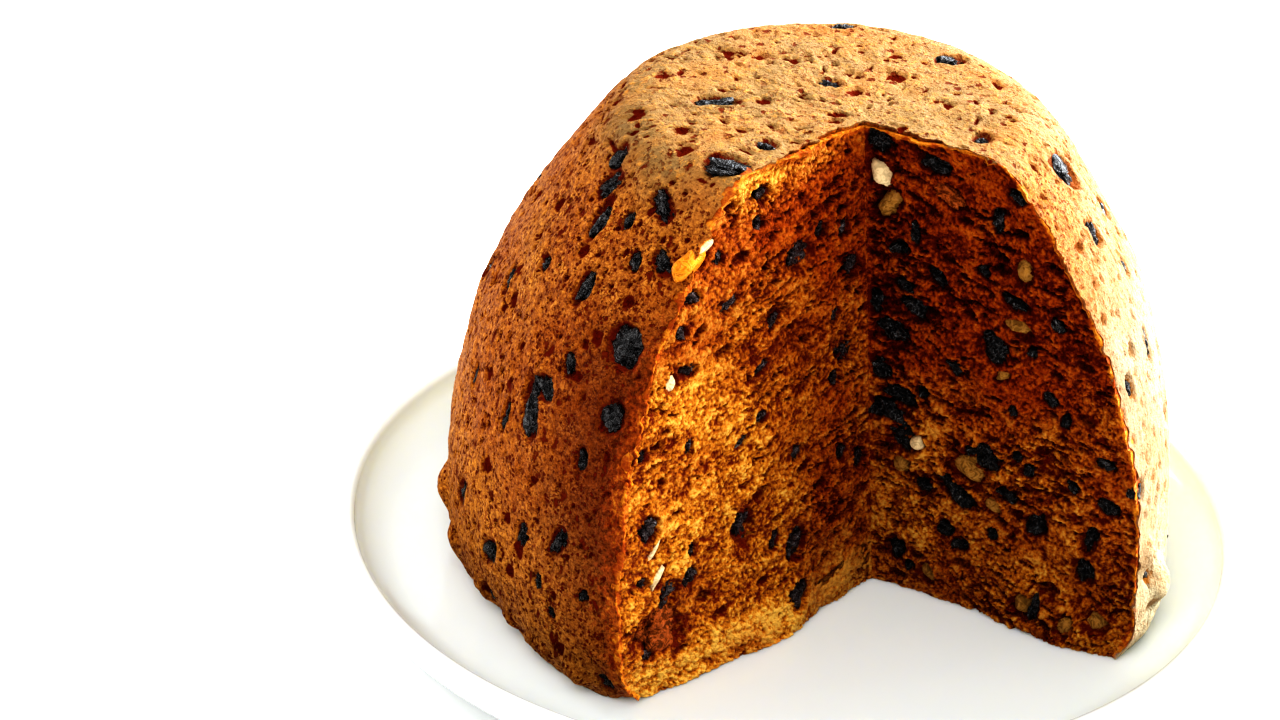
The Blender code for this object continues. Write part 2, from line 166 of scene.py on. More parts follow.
# Soft red fruit in both cut faces, and peel in the left one
LEFT_DATES = ((78.5, 18, 18, 13, 78),)
RIGHT_DATES = ((23, 117, 10, 5, 75),)
LEFT_PEEL = ((61, 112, 11, 6, -70),)
LEFT_PIECES = LEFT_CUT_FRUIT + LEFT_RED_FRUIT + LEFT_ALMONDS + LEFT_DATES + LEFT_PEEL
RIGHT_PIECES = RIGHT_CUT_FRUIT + RIGHT_NUTS + RIGHT_ALMONDS + RIGHT_DATES
# Fruit scattered over the rest of the skin: how much, by what turn and between what heights
SCATTERED_FRUIT = 64
SCATTER_TURN = 137.5
SCATTER_LOW = 9.0 * MM
SCATTER_HIGH = 119.0 * MM
# How far apart it lies, how far from the cut, and its seed
FRUIT_CLEAR = 15.0 * MM
CUT_CLEAR = 9.0 * MM
SCATTER_SEED = 25

# Hollows round fruit, in shares of its half size: the sloping side, the middle and width of
# the lip, where the mask fades out, and how far a noise bends all these
HOLLOW_SIDE = (0.78, 1.08)
HOLLOW_LIP = (1.35, 0.25)
HOLLOW_MASK = (0.92, 1.28)
HOLLOW_BEND = 0.22
HOLLOW_BEND_SIZE = 2.6 * MM
# Vertices closer than this are one
DOUBLES = 0.02 * MM

# Camera, worked out from the outline: its place from the pudding's axis and how it is turned
CAMERA_DISTANCE = 1012.0 * MM
CAMERA_TILT = 28.58
CAMERA_YAW = 2.52
CAMERA_PITCH = -0.58
CAMERA_ROLL = -4.0
CAMERA_LENS = 111.2

# Colour of the gloss where the surface is seen straight on; at a low angle it turns white
SKIN_GLOSS = (1.0, 0.38, 0.10)
CRUMB_GLOSS = (1.0, 0.22, 0.03)
WHITE = (1.0, 1.0, 1.0)


class PuddingColours(bpy.types.PropertyGroup):
    """Colours of what the pudding is made of, and of the light and shade painted on it."""
    skin: bpy.props.FloatVectorProperty(
        name="Skin", description="Steamed skin on the wall", subtype="COLOR",
        default=(0.385, 0.112, 0.013))
    skin_pale: bpy.props.FloatVectorProperty(
        name="Pale skin", description="Drier skin on the top and in patches", subtype="COLOR",
        default=(0.248, 0.156, 0.064))
    # Also painted fill light low on the wall, where the lamps give little
    skin_warm: bpy.props.FloatVectorProperty(
        name="Warm skin", description="Lighter skin high on the wall and in patches",
        subtype="COLOR", default=(0.54, 0.252, 0.050))
    # Painted light: the cream of the skin on the window side, where the key light falls
    painted_lit_skin: bpy.props.FloatVectorProperty(
        name="Side skin", description="Dry cream skin on the side of the window", subtype="COLOR",
        default=(0.33, 0.25, 0.158))
    # Painted light: the palest cream, at the foot of the window side
    painted_lit_foot: bpy.props.FloatVectorProperty(
        name="Side foot", description="Foot of the cream skin, palest of all", subtype="COLOR",
        default=(0.44, 0.40, 0.27))
    # Painted light: lighter skin at the far left, where light from the left and behind falls
    painted_left_light_skin: bpy.props.FloatVectorProperty(
        name="Golden skin", description="Smooth lighter skin on the side away from the window",
        subtype="COLOR", default=(0.60, 0.25, 0.022))
    # Painted light: pits on the window side, lighter than elsewhere
    painted_lit_pits: bpy.props.FloatVectorProperty(
        name="Side pits", description="Pits in the cream skin", subtype="COLOR",
        default=(0.30, 0.13, 0.022))
    skin_deep: bpy.props.FloatVectorProperty(
        name="Deep skin", description="Skin in pits, pores and round fruit", subtype="COLOR",
        default=(0.12, 0.012, 0.003))
    crumb: bpy.props.FloatVectorProperty(
        name="Crumb", description="The cut crumb", subtype="COLOR", default=(0.46, 0.18, 0.017))
    # Also painted highlight on the raised tips
    crumb_pale: bpy.props.FloatVectorProperty(
        name="Pale crumb", description="Tips of the torn crumb", subtype="COLOR",
        default=(0.66, 0.40, 0.09))
    # Also painted shade in the gaps, holes and creases
    crumb_deep: bpy.props.FloatVectorProperty(
        name="Deep crumb", description="Hollows in the crumb", subtype="COLOR",
        default=(0.10, 0.009, 0.002))
    crust_edge: bpy.props.FloatVectorProperty(
        name="Crust edge", description="Cut edge of the skin", subtype="COLOR",
        default=(0.40, 0.085, 0.012))
    crust_tip: bpy.props.FloatVectorProperty(
        name="Crust tip", description="Raised crumb at the rim of a cut", subtype="COLOR",
        default=(0.64, 0.27, 0.030))
    raisin: bpy.props.FloatVectorProperty(
        name="Raisin", description="Dark dried fruit", subtype="COLOR",
        default=(0.006, 0.004, 0.005))
    sultana: bpy.props.FloatVectorProperty(
        name="Sultana", description="Redder dried fruit", subtype="COLOR",
        default=(0.030, 0.009, 0.009))
    nut: bpy.props.FloatVectorProperty(
        name="Nut", description="Chopped nuts", subtype="COLOR", default=(0.72, 0.56, 0.33))
    brown_nut: bpy.props.FloatVectorProperty(
        name="Brown nut", description="Nuts steamed brown", subtype="COLOR",
        default=(0.36, 0.19, 0.045))
    peel: bpy.props.FloatVectorProperty(
        name="Peel", description="Candied peel", subtype="COLOR", default=(0.72, 0.27, 0.02))
    date: bpy.props.FloatVectorProperty(
        name="Date", description="Soft red-brown fruit", subtype="COLOR",
        default=(0.40, 0.105, 0.018))
    porcelain: bpy.props.FloatVectorProperty(
        name="Porcelain", description="The plate's glaze", subtype="COLOR",
        default=(0.66, 0.692, 0.688))
    floor: bpy.props.FloatVectorProperty(
        name="Floor", description="The table under the plate", subtype="COLOR",
        default=(0.90, 0.90, 0.89))


class PuddingSizes(bpy.types.PropertyGroup):
    """Sizes that a user might change without changing the solids."""
    skin_columns: bpy.props.IntProperty(
        name="Skin columns", description="Faces round the skin", default=520, min=60)
    skin_rows: bpy.props.IntProperty(
        name="Skin rows", description="Faces from the base to the inner edge", default=172, min=20)
    crumb_step: bpy.props.FloatProperty(
        name="Crumb step", description="Size of a face in the cut", default=0.36 * MM,
        unit="LENGTH")
    pit_depth: bpy.props.FloatProperty(
        name="Pit depth", description="Of the pits in the skin", default=1.1 * MM, unit="LENGTH")
    crumb_depth: bpy.props.FloatProperty(
        name="Crumb relief", description="Of the clumps in the cut", default=1.0 * MM,
        unit="LENGTH")
    fruit_hollow: bpy.props.FloatProperty(
        name="Fruit hollow", description="How deep fruit lies in the skin", default=1.3 * MM,
        unit="LENGTH")


class PuddingLight(bpy.types.PropertyGroup):
    """Light of the stage."""
    key: bpy.props.FloatProperty(
        name="Key", description="Window on the right", default=33.0, unit="POWER")
    top: bpy.props.FloatProperty(
        name="Top", description="Soft light from straight above", default=12.0, unit="POWER")
    back: bpy.props.FloatProperty(
        name="Back", description="Window behind on the right", default=37.0, unit="POWER")
    fill: bpy.props.FloatProperty(
        name="Fill", description="Soft light from the left", default=6.0, unit="POWER")
    sky: bpy.props.FloatProperty(name="Sky", description="Light from all round", default=0.62)
    table: bpy.props.FloatProperty(
        name="Table", description="Soft light from the front on the plate alone", default=14.4,
        unit="POWER")


def colours():
    """The colours set in the scene."""
    return bpy.context.scene.pudding_colours


def sizes():
    """The sizes set in the scene."""
    return bpy.context.scene.pudding_sizes


# Noise on arrays of points


def lattice(cell, seed):
    """A steady value from 0 to 1 for each whole-number cell."""
    x, y, z = (cell[..., axis].astype(np.int64) for axis in range(3))
    value = (x * 73856093) ^ (y * 19349663) ^ (z * 83492791) ^ (seed * 40503 + 977)
    value = ((value ^ (value >> 15)) * 2246822519) & 0xFFFFFFFF
    value = ((value ^ (value >> 13)) * 3266489917) & 0xFFFFFFFF
    return ((value ^ (value >> 16)) & 0xFFFFFF) / 0xFFFFFF


def soft_noise(points, seed=0):
    """Smooth noise from -1 to 1 with swells about one unit wide."""
    cell = np.floor(points)
    part = points - cell
    part = part * part * (3 - 2 * part)
    total = np.zeros(len(points))
    for corner in np.ndindex(2, 2, 2):
        weight = np.ones(len(points))
        for axis in range(3):
            weight = weight * (part[:, axis] if corner[axis] else 1 - part[:, axis])
        total += weight * lattice(cell + np.array(corner), seed)
    return 2 * total - 1


def rough_noise(points, octaves, seed=0):
    """Soft noise with finer swells added, from about -1 to 1."""
    total = np.zeros(len(points))
    share = 1.0
    for octave in range(octaves):
        total += share * soft_noise(points * 2 ** octave + 17.3 * octave, seed + octave)
        share *= 0.55
    return total / 1.6


def cell_noise(points, seed=0):
    """Distance to the nearest scattered seed, to the second nearest, and the seed's own value."""
    base = np.floor(points)
    first = np.full(len(points), 9.0)
    second = first.copy()
    owner = np.zeros(len(points))
    for step in np.ndindex(3, 3, 3):
        cell = base + (np.array(step) - 1)
        spot = cell + np.stack([lattice(cell, seed + axis) for axis in (1, 2, 3)], axis=-1)
        gap = np.linalg.norm(points - spot, axis=1)
        closer = gap < first
        second = np.where(closer, first, np.minimum(second, gap))
        owner = np.where(closer, lattice(cell, seed + 4), owner)
        first = np.where(closer, gap, first)
    return first, second, owner


def fade(value, low, high):
    """A smooth step from 0 at low to 1 at high."""
    share = np.clip((value - low) / (high - low), 0, 1)
    return share * share * (3 - 2 * share)


def solid_noise(points, size, offset=(0, 0, 0)):
    """The noise that the solids are shaped with, at each point."""
    shift = Vector(offset)
    return np.array([noise.noise(Vector(point) / size + shift) for point in points])


# Form


def wall_radius(height):
    """Radius of the wall at heights above the base."""
    height = np.asarray(height, dtype=float)
    low = WIDEST_RADIUS - BASE_TUCK * (1 - np.clip(height / WIDEST_HEIGHT, 0, 1)) ** 2
    share = np.clip((height - WIDEST_HEIGHT) / (SHOULDER_HEIGHT - WIDEST_HEIGHT), 0, None)
    return low - (WIDEST_RADIUS - SHOULDER_RADIUS) * share ** WALL_POWER


WALL_STEPS = 200
CORNER_STEPS = 40


def outline():
    """The wall and its rounded corner from the base up: distance along, radius and height."""
    slope = WALL_POWER * (WIDEST_RADIUS - SHOULDER_RADIUS) / (SHOULDER_HEIGHT - WIDEST_HEIGHT)
    lean = math.atan(slope)
    corner_r = SHOULDER_RADIUS - (PUDDING_HEIGHT - SHOULDER_HEIGHT) * math.tan(lean)
    corner = np.array((corner_r, PUDDING_HEIGHT))
    start = corner + CORNER_LENGTH * np.array((math.sin(lean), -math.cos(lean)))
    end = corner - np.array((CORNER_LENGTH, 0))
    heights = np.linspace(0, start[1], WALL_STEPS)[:-1]
    wall = np.stack([wall_radius(heights), heights], axis=1)
    t = np.linspace(0, 1, CORNER_STEPS)[:, None]
    bend = (1 - t) ** 2 * start + 2 * t * (1 - t) * corner + t * t * end
    points = np.concatenate([wall, bend])
    along = np.concatenate([[0], np.cumsum(np.linalg.norm(np.diff(points, axis=0), axis=1))])
    return along, points[:, 0], points[:, 1]


ALONG, RADIUS_ALONG, HEIGHT_ALONG = outline()
WALL_LENGTH = ALONG[-1]
TOP_RADIUS = RADIUS_ALONG[-1]
TOP_LENGTH = TOP_RADIUS + 6 * MM    # from the corner to the inner edge, on average


def edge_at(height):
    """The missing slice's inner edge at heights, from the pudding's axis."""
    share = np.asarray(height)[..., None] / PUDDING_HEIGHT
    return EDGE_BASE + (EDGE_TOP - EDGE_BASE) * share


def face_angle(face, height):
    """Angle of a cut face at heights."""
    return np.radians(face[0] + (face[1] - face[0]) * np.asarray(height) / PUDDING_HEIGHT)


def angle_at(turn, height):
    """Angle at a turn, from 0 at the right cut to 1 at the left."""
    right, left = face_angle(RIGHT_FACE, height), face_angle(LEFT_FACE, height)
    return right + (left - right) * turn


def reach(angle, edge, radius):
    """Distance from the inner edge along an angle to a circle round the pudding's axis."""
    along = edge[..., 0] * np.cos(angle) + edge[..., 1] * np.sin(angle)
    inside = along ** 2 - ((edge ** 2).sum(axis=-1) - radius ** 2)
    return np.sqrt(np.maximum(inside, 0)) - along


def place_on_skin(turn, up):
    """Points of the skin, with turn from 0 at the right cut to 1 at the left, and up from 0 at
    the base to 1 at the inner edge."""
    length = WALL_LENGTH + TOP_LENGTH
    along = np.minimum(up * length, WALL_LENGTH)
    radius = np.interp(along, ALONG, RADIUS_ALONG)
    height = np.interp(along, ALONG, HEIGHT_ALONG)
    edge = edge_at(height)
    angle = angle_at(turn, height)
    distance = reach(angle, edge, radius)
    inward = np.clip((up * length - WALL_LENGTH) / TOP_LENGTH, 0, 1)
    distance = distance * (1 - inward)
    x = edge[:, 0] + np.cos(angle) * distance
    y = edge[:, 1] + np.sin(angle) * distance
    crown = TOP_CROWN * (1 - (x ** 2 + y ** 2) / TOP_RADIUS ** 2) * (inward > 0)
    return np.stack([x + PUDDING_X, y + PUDDING_Y, height + crown + BASE_Z], axis=1)


# How much closer together the skin's columns lie beside each cut, and where this fades out
CROWDING = 1.1
CROWDED_RIGHT = (50 * MM, 80 * MM)
CROWDED_LEFT = (90 * MM, 120 * MM)
SPREAD_STEPS = 600


def spread_turns(share):
    """Turns for shares of the columns, which lie closer together beside the cut."""
    height = 0.35 * PUDDING_HEIGHT
    edge = edge_at(height)
    turns = np.linspace(0, 1, SPREAD_STEPS)
    angle = angle_at(turns, height)
    distance = reach(angle, edge, wall_radius(height))
    points = edge + np.stack([np.cos(angle), np.sin(angle)], axis=1) * distance[:, None]
    step = np.linalg.norm(np.diff(points, axis=0), axis=1)
    along = np.concatenate([[0], np.cumsum(step)])
    middle = 0.5 * (along[1:] + along[:-1])
    closer = 1 + CROWDING * (1 - fade(middle, *CROWDED_RIGHT))
    closer += CROWDING * (1 - fade(along[-1] - middle, *CROWDED_LEFT))
    columns = np.concatenate([[0], np.cumsum(step * closer)])
    return np.interp(share, columns / columns[-1], turns)


def face_normal(face, height=0.5 * PUDDING_HEIGHT):
    """The way out of the pudding through a cut face."""
    angle = float(face_angle(face, height))
    side = 1 if face is LEFT_FACE else -1
    return np.array((-math.sin(angle), math.cos(angle), 0)) * side


def cut_gap(places, face):
    """Distance of points from one cut face, which ends at the inner edge."""
    height = places[:, 2] - BASE_Z
    flat = places[:, :2] - AXIS - edge_at(height)
    angle = face_angle(face, height)
    along = flat[:, 0] * np.cos(angle) + flat[:, 1] * np.sin(angle)
    return np.hypot(flat @ face_normal(face)[:2], np.minimum(along, 0))


def shape_foot(places):
    """Move the foot as it stands: drawn in or spread along the wall, swollen along the cuts and
    rounded at the left corner."""
    moved = places.copy()
    height = places[:, 2] - BASE_Z
    flat = places[:, :2] - AXIS
    radius = np.linalg.norm(flat, axis=1)
    turned = np.degrees(np.arctan2(flat[:, 1], flat[:, 0]))
    for angle, spread, push, end in FOOT_WALLS:
        share = np.exp(-((turned - angle) / spread) ** 2) * fade(radius, *FOOT_WALL_FADE)
        share *= push * (1 - fade(height, 0, end))
        moved[:, :2] += flat * (share / np.maximum(radius, MM))[:, None]
    for face, middle, spread, proud in FOOT_SWELLS:
        angle = face_angle(face, 0.0)
        along = (flat - EDGE_BASE) @ np.array((math.cos(angle), math.sin(angle)))
        share = np.exp(-((along - middle) / spread) ** 2) * (1 - fade(height, 0, FOOT_SWELL_HEIGHT))
        share *= 1 - fade(cut_gap(places, face), *FOOT_SWELL_FADE)
        moved += face_normal(face, 0.0) * (share * proud)[:, None]
    push, slip, lift, width, power, flat_share = FOOT_CORNER
    angle = face_angle(LEFT_FACE, 0.0)
    out = np.array((math.cos(angle), math.sin(angle), 0))
    corner = np.append(EDGE_BASE, 0) + out * reach(angle, EDGE_BASE, WIDEST_RADIUS - BASE_TUCK)
    offset = places - corner - np.array((PUDDING_X, PUDDING_Y, BASE_Z))
    away = np.linalg.norm(offset * (1, 1, flat_share), axis=1)
    share = np.clip(1 - away / width, 0, 1) ** power
    return moved + (np.array((-slip, 0, lift)) - out * push) * share[:, None]


def tear(points, distance):
    """How far the knife tore the crumb out or in, as in the solids."""
    return solid_noise(points, TEAR_SIZE) * TEAR_DEPTH * np.clip(distance / TEAR_SIZE, 0, 1)


# Seats for fruit: a place, and the directions across, along and out of the surface


def wall_seat(angle, height):
    """A seat on the wall."""
    turned = math.radians(angle)
    out = Vector((math.cos(turned), math.sin(turned), 0))
    step = MM
    rise = float(wall_radius(height + step) - wall_radius(max(height - step, 0)))
    place = Vector((PUDDING_X, PUDDING_Y, BASE_Z + height)) + out * float(wall_radius(height))
    normal = Vector((out.x, out.y, -rise / (2 * step))).normalized()
    across = Vector((-out.y, out.x, 0))
    place += normal * unevenness([place])[0]
    return place, across, normal.cross(across), normal


def top_seat(angle, distance):
    """A seat on the flat top."""
    turned = math.radians(angle)
    out = Vector((math.cos(turned), math.sin(turned), 0))
    place = Vector((PUDDING_X, PUDDING_Y, BASE_Z + PUDDING_HEIGHT)) + out * distance
    place.z += TOP_CROWN * (1 - distance ** 2 / TOP_RADIUS ** 2) if distance < TOP_RADIUS else 0
    place.z += unevenness([place])[0]
    return place, Vector((0, 1, 0)), Vector((-1, 0, 0)), Vector((0, 0, 1))


def cut_seat(face, distance, height):
    """A seat in a cut face, at a distance from the inner edge."""
    edge = edge_at(height)
    angle = float(face_angle(face, height))
    flat = edge + np.array((math.cos(angle), math.sin(angle))) * distance
    normal = Vector(face_normal(face, height))
    place = Vector((flat[0] + PUDDING_X, flat[1] + PUDDING_Y, BASE_Z + height))
    place += normal * float(tear([place], np.array([distance]))[0])
    up = Vector((0, 0, 1))
    return place, up.cross(normal), up, normal


def unevenness(points):
    """How far the skin stands out or in, as in the solids."""
    swell = solid_noise(points, SWELL_SIZE) * SWELL_DEPTH
    return swell + solid_noise(points, LUMP_SIZE, (7, 3, 1)) * LUMP_DEPTH


def in_slice(place, height):
    """Whether a place at a height is in the missing slice, or near it."""
    edge = edge_at(height) + AXIS
    for face in (LEFT_FACE, RIGHT_FACE):
        out = (np.array(place[:2]) - edge) @ face_normal(face, height)[:2]
        if out < -CUT_CLEAR:
            return False
    return True


def turned_seat(seat, lean):
    """A seat turned about the way out of its surface."""
    place, across, along, normal = seat
    turn = Matrix.Rotation(math.radians(lean), 3, normal)
    return place, turn @ across, turn @ along, normal


def skin_pieces():
    """Seats, lengths and widths of all the fruit in the skin, those listed first."""
    pieces = []
    for angle, height, length, width, lean in WALL_FRUIT:
        pieces.append((turned_seat(wall_seat(angle, height * MM), lean), length * MM, width * MM))
    for angle, distance, length, width, lean in TOP_FRUIT:
        pieces.append((turned_seat(top_seat(angle, distance * MM), lean), length * MM, width * MM))
    rng = random.Random(SCATTER_SEED)
    taken = [wall_seat(angle, height * MM)[0] for angle, height, *_ in WALL_FRUIT + BASE_LUMPS]
    for number in range(SCATTERED_FRUIT):
        share = (number + 0.5) / SCATTERED_FRUIT
        angle = number * SCATTER_TURN + rng.uniform(-9, 9)
        height = SCATTER_LOW + (SCATTER_HIGH - SCATTER_LOW) * share + rng.uniform(-4, 4) * MM
        length, width = rng.uniform(6, 11) * MM, rng.uniform(4, 6) * MM
        lean = rng.uniform(-40, 40)
        seat = wall_seat(angle, height)
        near = min((seat[0] - other).length for other in taken)
        if in_slice(seat[0], height) or near < FRUIT_CLEAR:
            continue
        taken.append(seat[0])
        pieces.append((turned_seat(seat, lean), length, width))
    return pieces


def cut_pieces(face, rows):
    """Seats, lengths and widths of pieces in one cut face."""
    pieces = []
    for distance, height, length, width, lean in rows:
        seat = turned_seat(cut_seat(face, distance * MM, height * MM), lean)
        pieces.append((seat, length * MM, width * MM))
    return pieces


# Meshes


def deselect():
    """Leave edit mode and select nothing."""
    if bpy.context.mode != "OBJECT":
        bpy.ops.object.mode_set(mode="OBJECT")
    bpy.ops.object.select_all(action="DESELECT")


def choose(obj):
    """Select one object alone and make it the active one."""
    deselect()
    obj.select_set(True)
    bpy.context.view_layer.objects.active = obj


def edit(obj):
    """Open an object in edit mode with all of it selected."""
    choose(obj)
    bpy.ops.object.mode_set(mode="EDIT")
    bpy.ops.mesh.select_all(action="SELECT")


def leave_edit():
    """Go back to object mode."""
    bpy.ops.object.mode_set(mode="OBJECT")


def select_rim():
    """Select the open edges of the mesh in edit mode."""
    bpy.ops.mesh.select_all(action="DESELECT")
    bpy.ops.mesh.select_mode(type="EDGE")
    bpy.ops.mesh.select_non_manifold(extend=False, use_boundary=True, use_wire=False,
                                     use_multi_face=False, use_non_contiguous=False,
                                     use_verts=False)


def face_outwards():
    """Turn all faces of the mesh in edit mode outwards."""
    bpy.ops.mesh.select_all(action="SELECT")
    bpy.ops.mesh.normals_make_consistent(inside=False)


def read_places(mesh):
    """Places of the vertices, one in each row."""
    flat = np.empty(len(mesh.vertices) * 3)
    mesh.vertices.foreach_get("co", flat)
    return flat.reshape(-1, 3)


def write_places(mesh, places):
    """Move the vertices to new places."""
    mesh.vertices.foreach_set("co", places.ravel())
    mesh.update()


def read_normals(mesh):
    """Normals of the vertices, one in each row."""
    flat = np.empty(len(mesh.vertices) * 3)
    mesh.vertex_normals.foreach_get("vector", flat)
    return flat.reshape(-1, 3)


def store(mesh, name, values):
    """Keep one value for each vertex, for the materials to read."""
    attribute = mesh.attributes.new(name, "FLOAT", "POINT")
    attribute.data.foreach_set("value", np.asarray(values, dtype=np.float32))


def add_grid(name, columns, rows):
    """A flat grid, with each vertex's share across and up it."""
    deselect()
    bpy.ops.mesh.primitive_grid_add(x_subdivisions=columns, y_subdivisions=rows, size=2,
                                    location=(0, 0, 0))
    grid = bpy.context.active_object
    grid.name = name
    places = read_places(grid.data)
    return grid, (places[:, 0] + 1) / 2, (places[:, 1] + 1) / 2


def join(pieces, name):
    """Join objects into one, named and at the origin."""
    deselect()
    for piece in pieces:
        piece.select_set(True)
    bpy.context.view_layer.objects.active = pieces[0]
    if len(pieces) > 1:
        bpy.ops.object.join()
    joined = bpy.context.active_object
    joined.name = name
    joined.data.name = name
    bpy.ops.object.transform_apply(location=True, rotation=True, scale=True)
    return joined


def hollow_out(points, normals, pieces, depth, lip, seed):
    """Push points in where pieces lie, with a low lip round each. Gives the moves and a mask that is 1
    in a hollow and falls to 0 round it, for painted shade in the gap round each piece."""
    move = np.zeros(len(points))
    mask = np.zeros(len(points))
    middle, spread = HOLLOW_LIP
    for seat, length, width in pieces:
        place, across, along, normal = (np.array(part) for part in seat)
        offset = points - place
        near = np.nonzero((np.abs(offset).max(axis=1) < length * 1.6) & (normals @ normal > 0.2))[0]
        if not len(near):
            continue
        local = offset[near]
        ring = np.hypot(local @ across / (width / 2), local @ along / (length / 2))
        ring += HOLLOW_BEND * soft_noise(points[near] / HOLLOW_BEND_SIZE, seed)
        move[near] -= depth * (1 - fade(ring, *HOLLOW_SIDE))
        move[near] += lip * np.exp(-((ring - middle) / spread) ** 2)
        mask[near] = np.maximum(mask[near], 1 - fade(ring, *HOLLOW_MASK))
    return move, mask


# Materials


class Nodes:
    """A node tree in the making, with a short way to add each kind of node used here."""

    def __init__(self, tree):
        self.tree = tree

    def put(self, socket, value):
        """Link a socket to another node's output, or give it a plain value."""
        if hasattr(value, "is_output"):
            self.tree.links.new(value, socket)
        else:
            socket.default_value = value

    def node(self, kind, **values):
        """A new node. Each value goes to the input of that name, or else to the setting."""
        node = self.tree.nodes.new(kind)
        for name, value in values.items():
            if name in node.inputs:
                self.put(node.inputs[name], value)
            else:
                setattr(node, name, value)
        return node

    def math(self, operation, *values, clamp=False):
        node = self.node("ShaderNodeMath", operation=operation, use_clamp=clamp)
        for socket, value in zip(node.inputs, values):
            self.put(socket, value)
        return node.outputs[0]

    def times(self, first, second, clamp=False):
        return self.math("MULTIPLY", first, second, clamp=clamp)

    def plus(self, first, second, clamp=False):
        return self.math("ADD", first, second, clamp=clamp)

    def larger(self, first, second):
        return self.math("MAXIMUM", first, second)

    def line(self, value, slope, start, clamp=False):
        """A value times a slope, from a start."""
        return self.math("MULTIPLY_ADD", value, slope, start, clamp=clamp)

    def total(self, *parts):
        """The sum of pairs of a value and its share."""
        first, *rest = (self.times(value, share) for value, share in parts)
        for part in rest:
            first = self.plus(first, part)
        return first

    def ramp(self, source, *stops):
        """Colours or plain greys, from stops of a position and a colour."""
        node = self.node("ShaderNodeValToRGB", Fac=source)
        elements = node.color_ramp.elements
        while len(elements) < len(stops):
            elements.new(0.5)
        for element, (position, colour) in zip(elements, stops):
            element.position = position
            element.color = (*((colour,) * 3 if isinstance(colour, float) else colour), 1.0)
        return node.outputs["Color"]

    def blend(self, factor, first, second, mode="MIX"):
        node = self.node("ShaderNodeMix", data_type="RGBA", blend_type=mode)
        sockets = {socket.name: socket for socket in node.inputs if socket.enabled}
        self.put(sockets["Factor"], factor)
        for name, colour in (("A", first), ("B", second)):
            self.put(sockets[name], colour if hasattr(colour, "is_output") else (*colour, 1.0))
        return next(socket for socket in node.outputs if socket.enabled)

    def noise(self, vector, scale, detail, roughness=0.5, distortion=0.0):
        """Fractal noise from 0 to 1."""
        node = self.node("ShaderNodeTexNoise", Vector=vector, Scale=scale, Detail=detail,
                         Roughness=roughness, Distortion=distortion)
        return node.outputs["Fac"]

    def even_noise(self, vector, scale, detail, roughness):
        """Fractal noise with 0 in its middle."""
        return self.math("SUBTRACT", self.noise(vector, scale, detail, roughness), 0.5)


class Finish(Nodes):
    """A material in the making: a node tree with its shader."""

    def __init__(self, name):
        self.material = bpy.data.materials.new(name)
        self.material.use_nodes = True
        super().__init__(self.material.node_tree)
        self.shader = self.tree.nodes["Principled BSDF"]

    def object_place(self, stretch=(1, 1, 1)):
        """Object coordinates, stretched for streaks."""
        texture = self.node("ShaderNodeTexCoord")
        mapping = self.node("ShaderNodeMapping", Vector=texture.outputs["Object"], Scale=stretch)
        return mapping.outputs["Vector"]

    def stored(self, name):
        """What the mesh keeps for each vertex under a name."""
        return self.node("ShaderNodeAttribute", attribute_name=name).outputs["Fac"]

    def bump(self, height, strength, depth):
        node = self.node("ShaderNodeBump", Height=height, Strength=strength, Distance=depth)
        self.put(self.shader.inputs["Normal"], node.outputs["Normal"])

    def shade(self, inputs):
        """Link or set the shader's inputs, by their names."""
        for name, value in inputs.items():
            self.put(self.shader.inputs[name], value)


def hole_group():
    """Shader group: crisp holes of uneven size, from Object coordinates."""
    tree = bpy.data.node_groups.new("Holes", "ShaderNodeTree")
    tree.interface.new_socket(name="Vector", in_out="INPUT", socket_type="NodeSocketVector")
    for name, default in (("Scale", 800.0), ("Size", 0.35), ("Share", 0.6)):
        socket = tree.interface.new_socket(name=name, in_out="INPUT", socket_type="NodeSocketFloat")
        socket.default_value = default
    tree.interface.new_socket(name="Mask", in_out="OUTPUT", socket_type="NodeSocketFloat")
    make = Nodes(tree)
    entry = make.node("NodeGroupInput").outputs
    # The cells are drawn out of shape by a noise, in step with their size
    wobble = make.node("ShaderNodeTexNoise", Vector=entry["Vector"],
                       Scale=make.times(entry["Scale"], 1.7), Detail=2.0, Roughness=0.6)
    drift = make.node("ShaderNodeVectorMath", operation="SCALE", Vector=wobble.outputs["Color"],
                      Scale=make.math("DIVIDE", 1.1, entry["Scale"]))
    moved = make.node("ShaderNodeVectorMath", operation="ADD", Vector=drift.outputs[0])
    make.put(moved.inputs[1], entry["Vector"])
    cells = make.node("ShaderNodeTexVoronoi", feature="F1", Vector=moved.outputs[0],
                      Scale=entry["Scale"])
    chance = make.node("ShaderNodeSeparateColor", Color=cells.outputs["Color"])
    # One chance says whether a cell has a hole, another how wide it is
    present = make.math("LESS_THAN", chance.outputs["Red"], entry["Share"])
    width = make.times(make.line(chance.outputs["Green"], 0.7, 0.3), entry["Size"])
    inside = make.math("SUBTRACT", width, cells.outputs["Distance"])
    mask = make.times(inside, make.math("DIVIDE", 3.0, entry["Size"]), clamp=True)
    make.node("NodeGroupOutput", Mask=make.times(mask, present))
    return tree


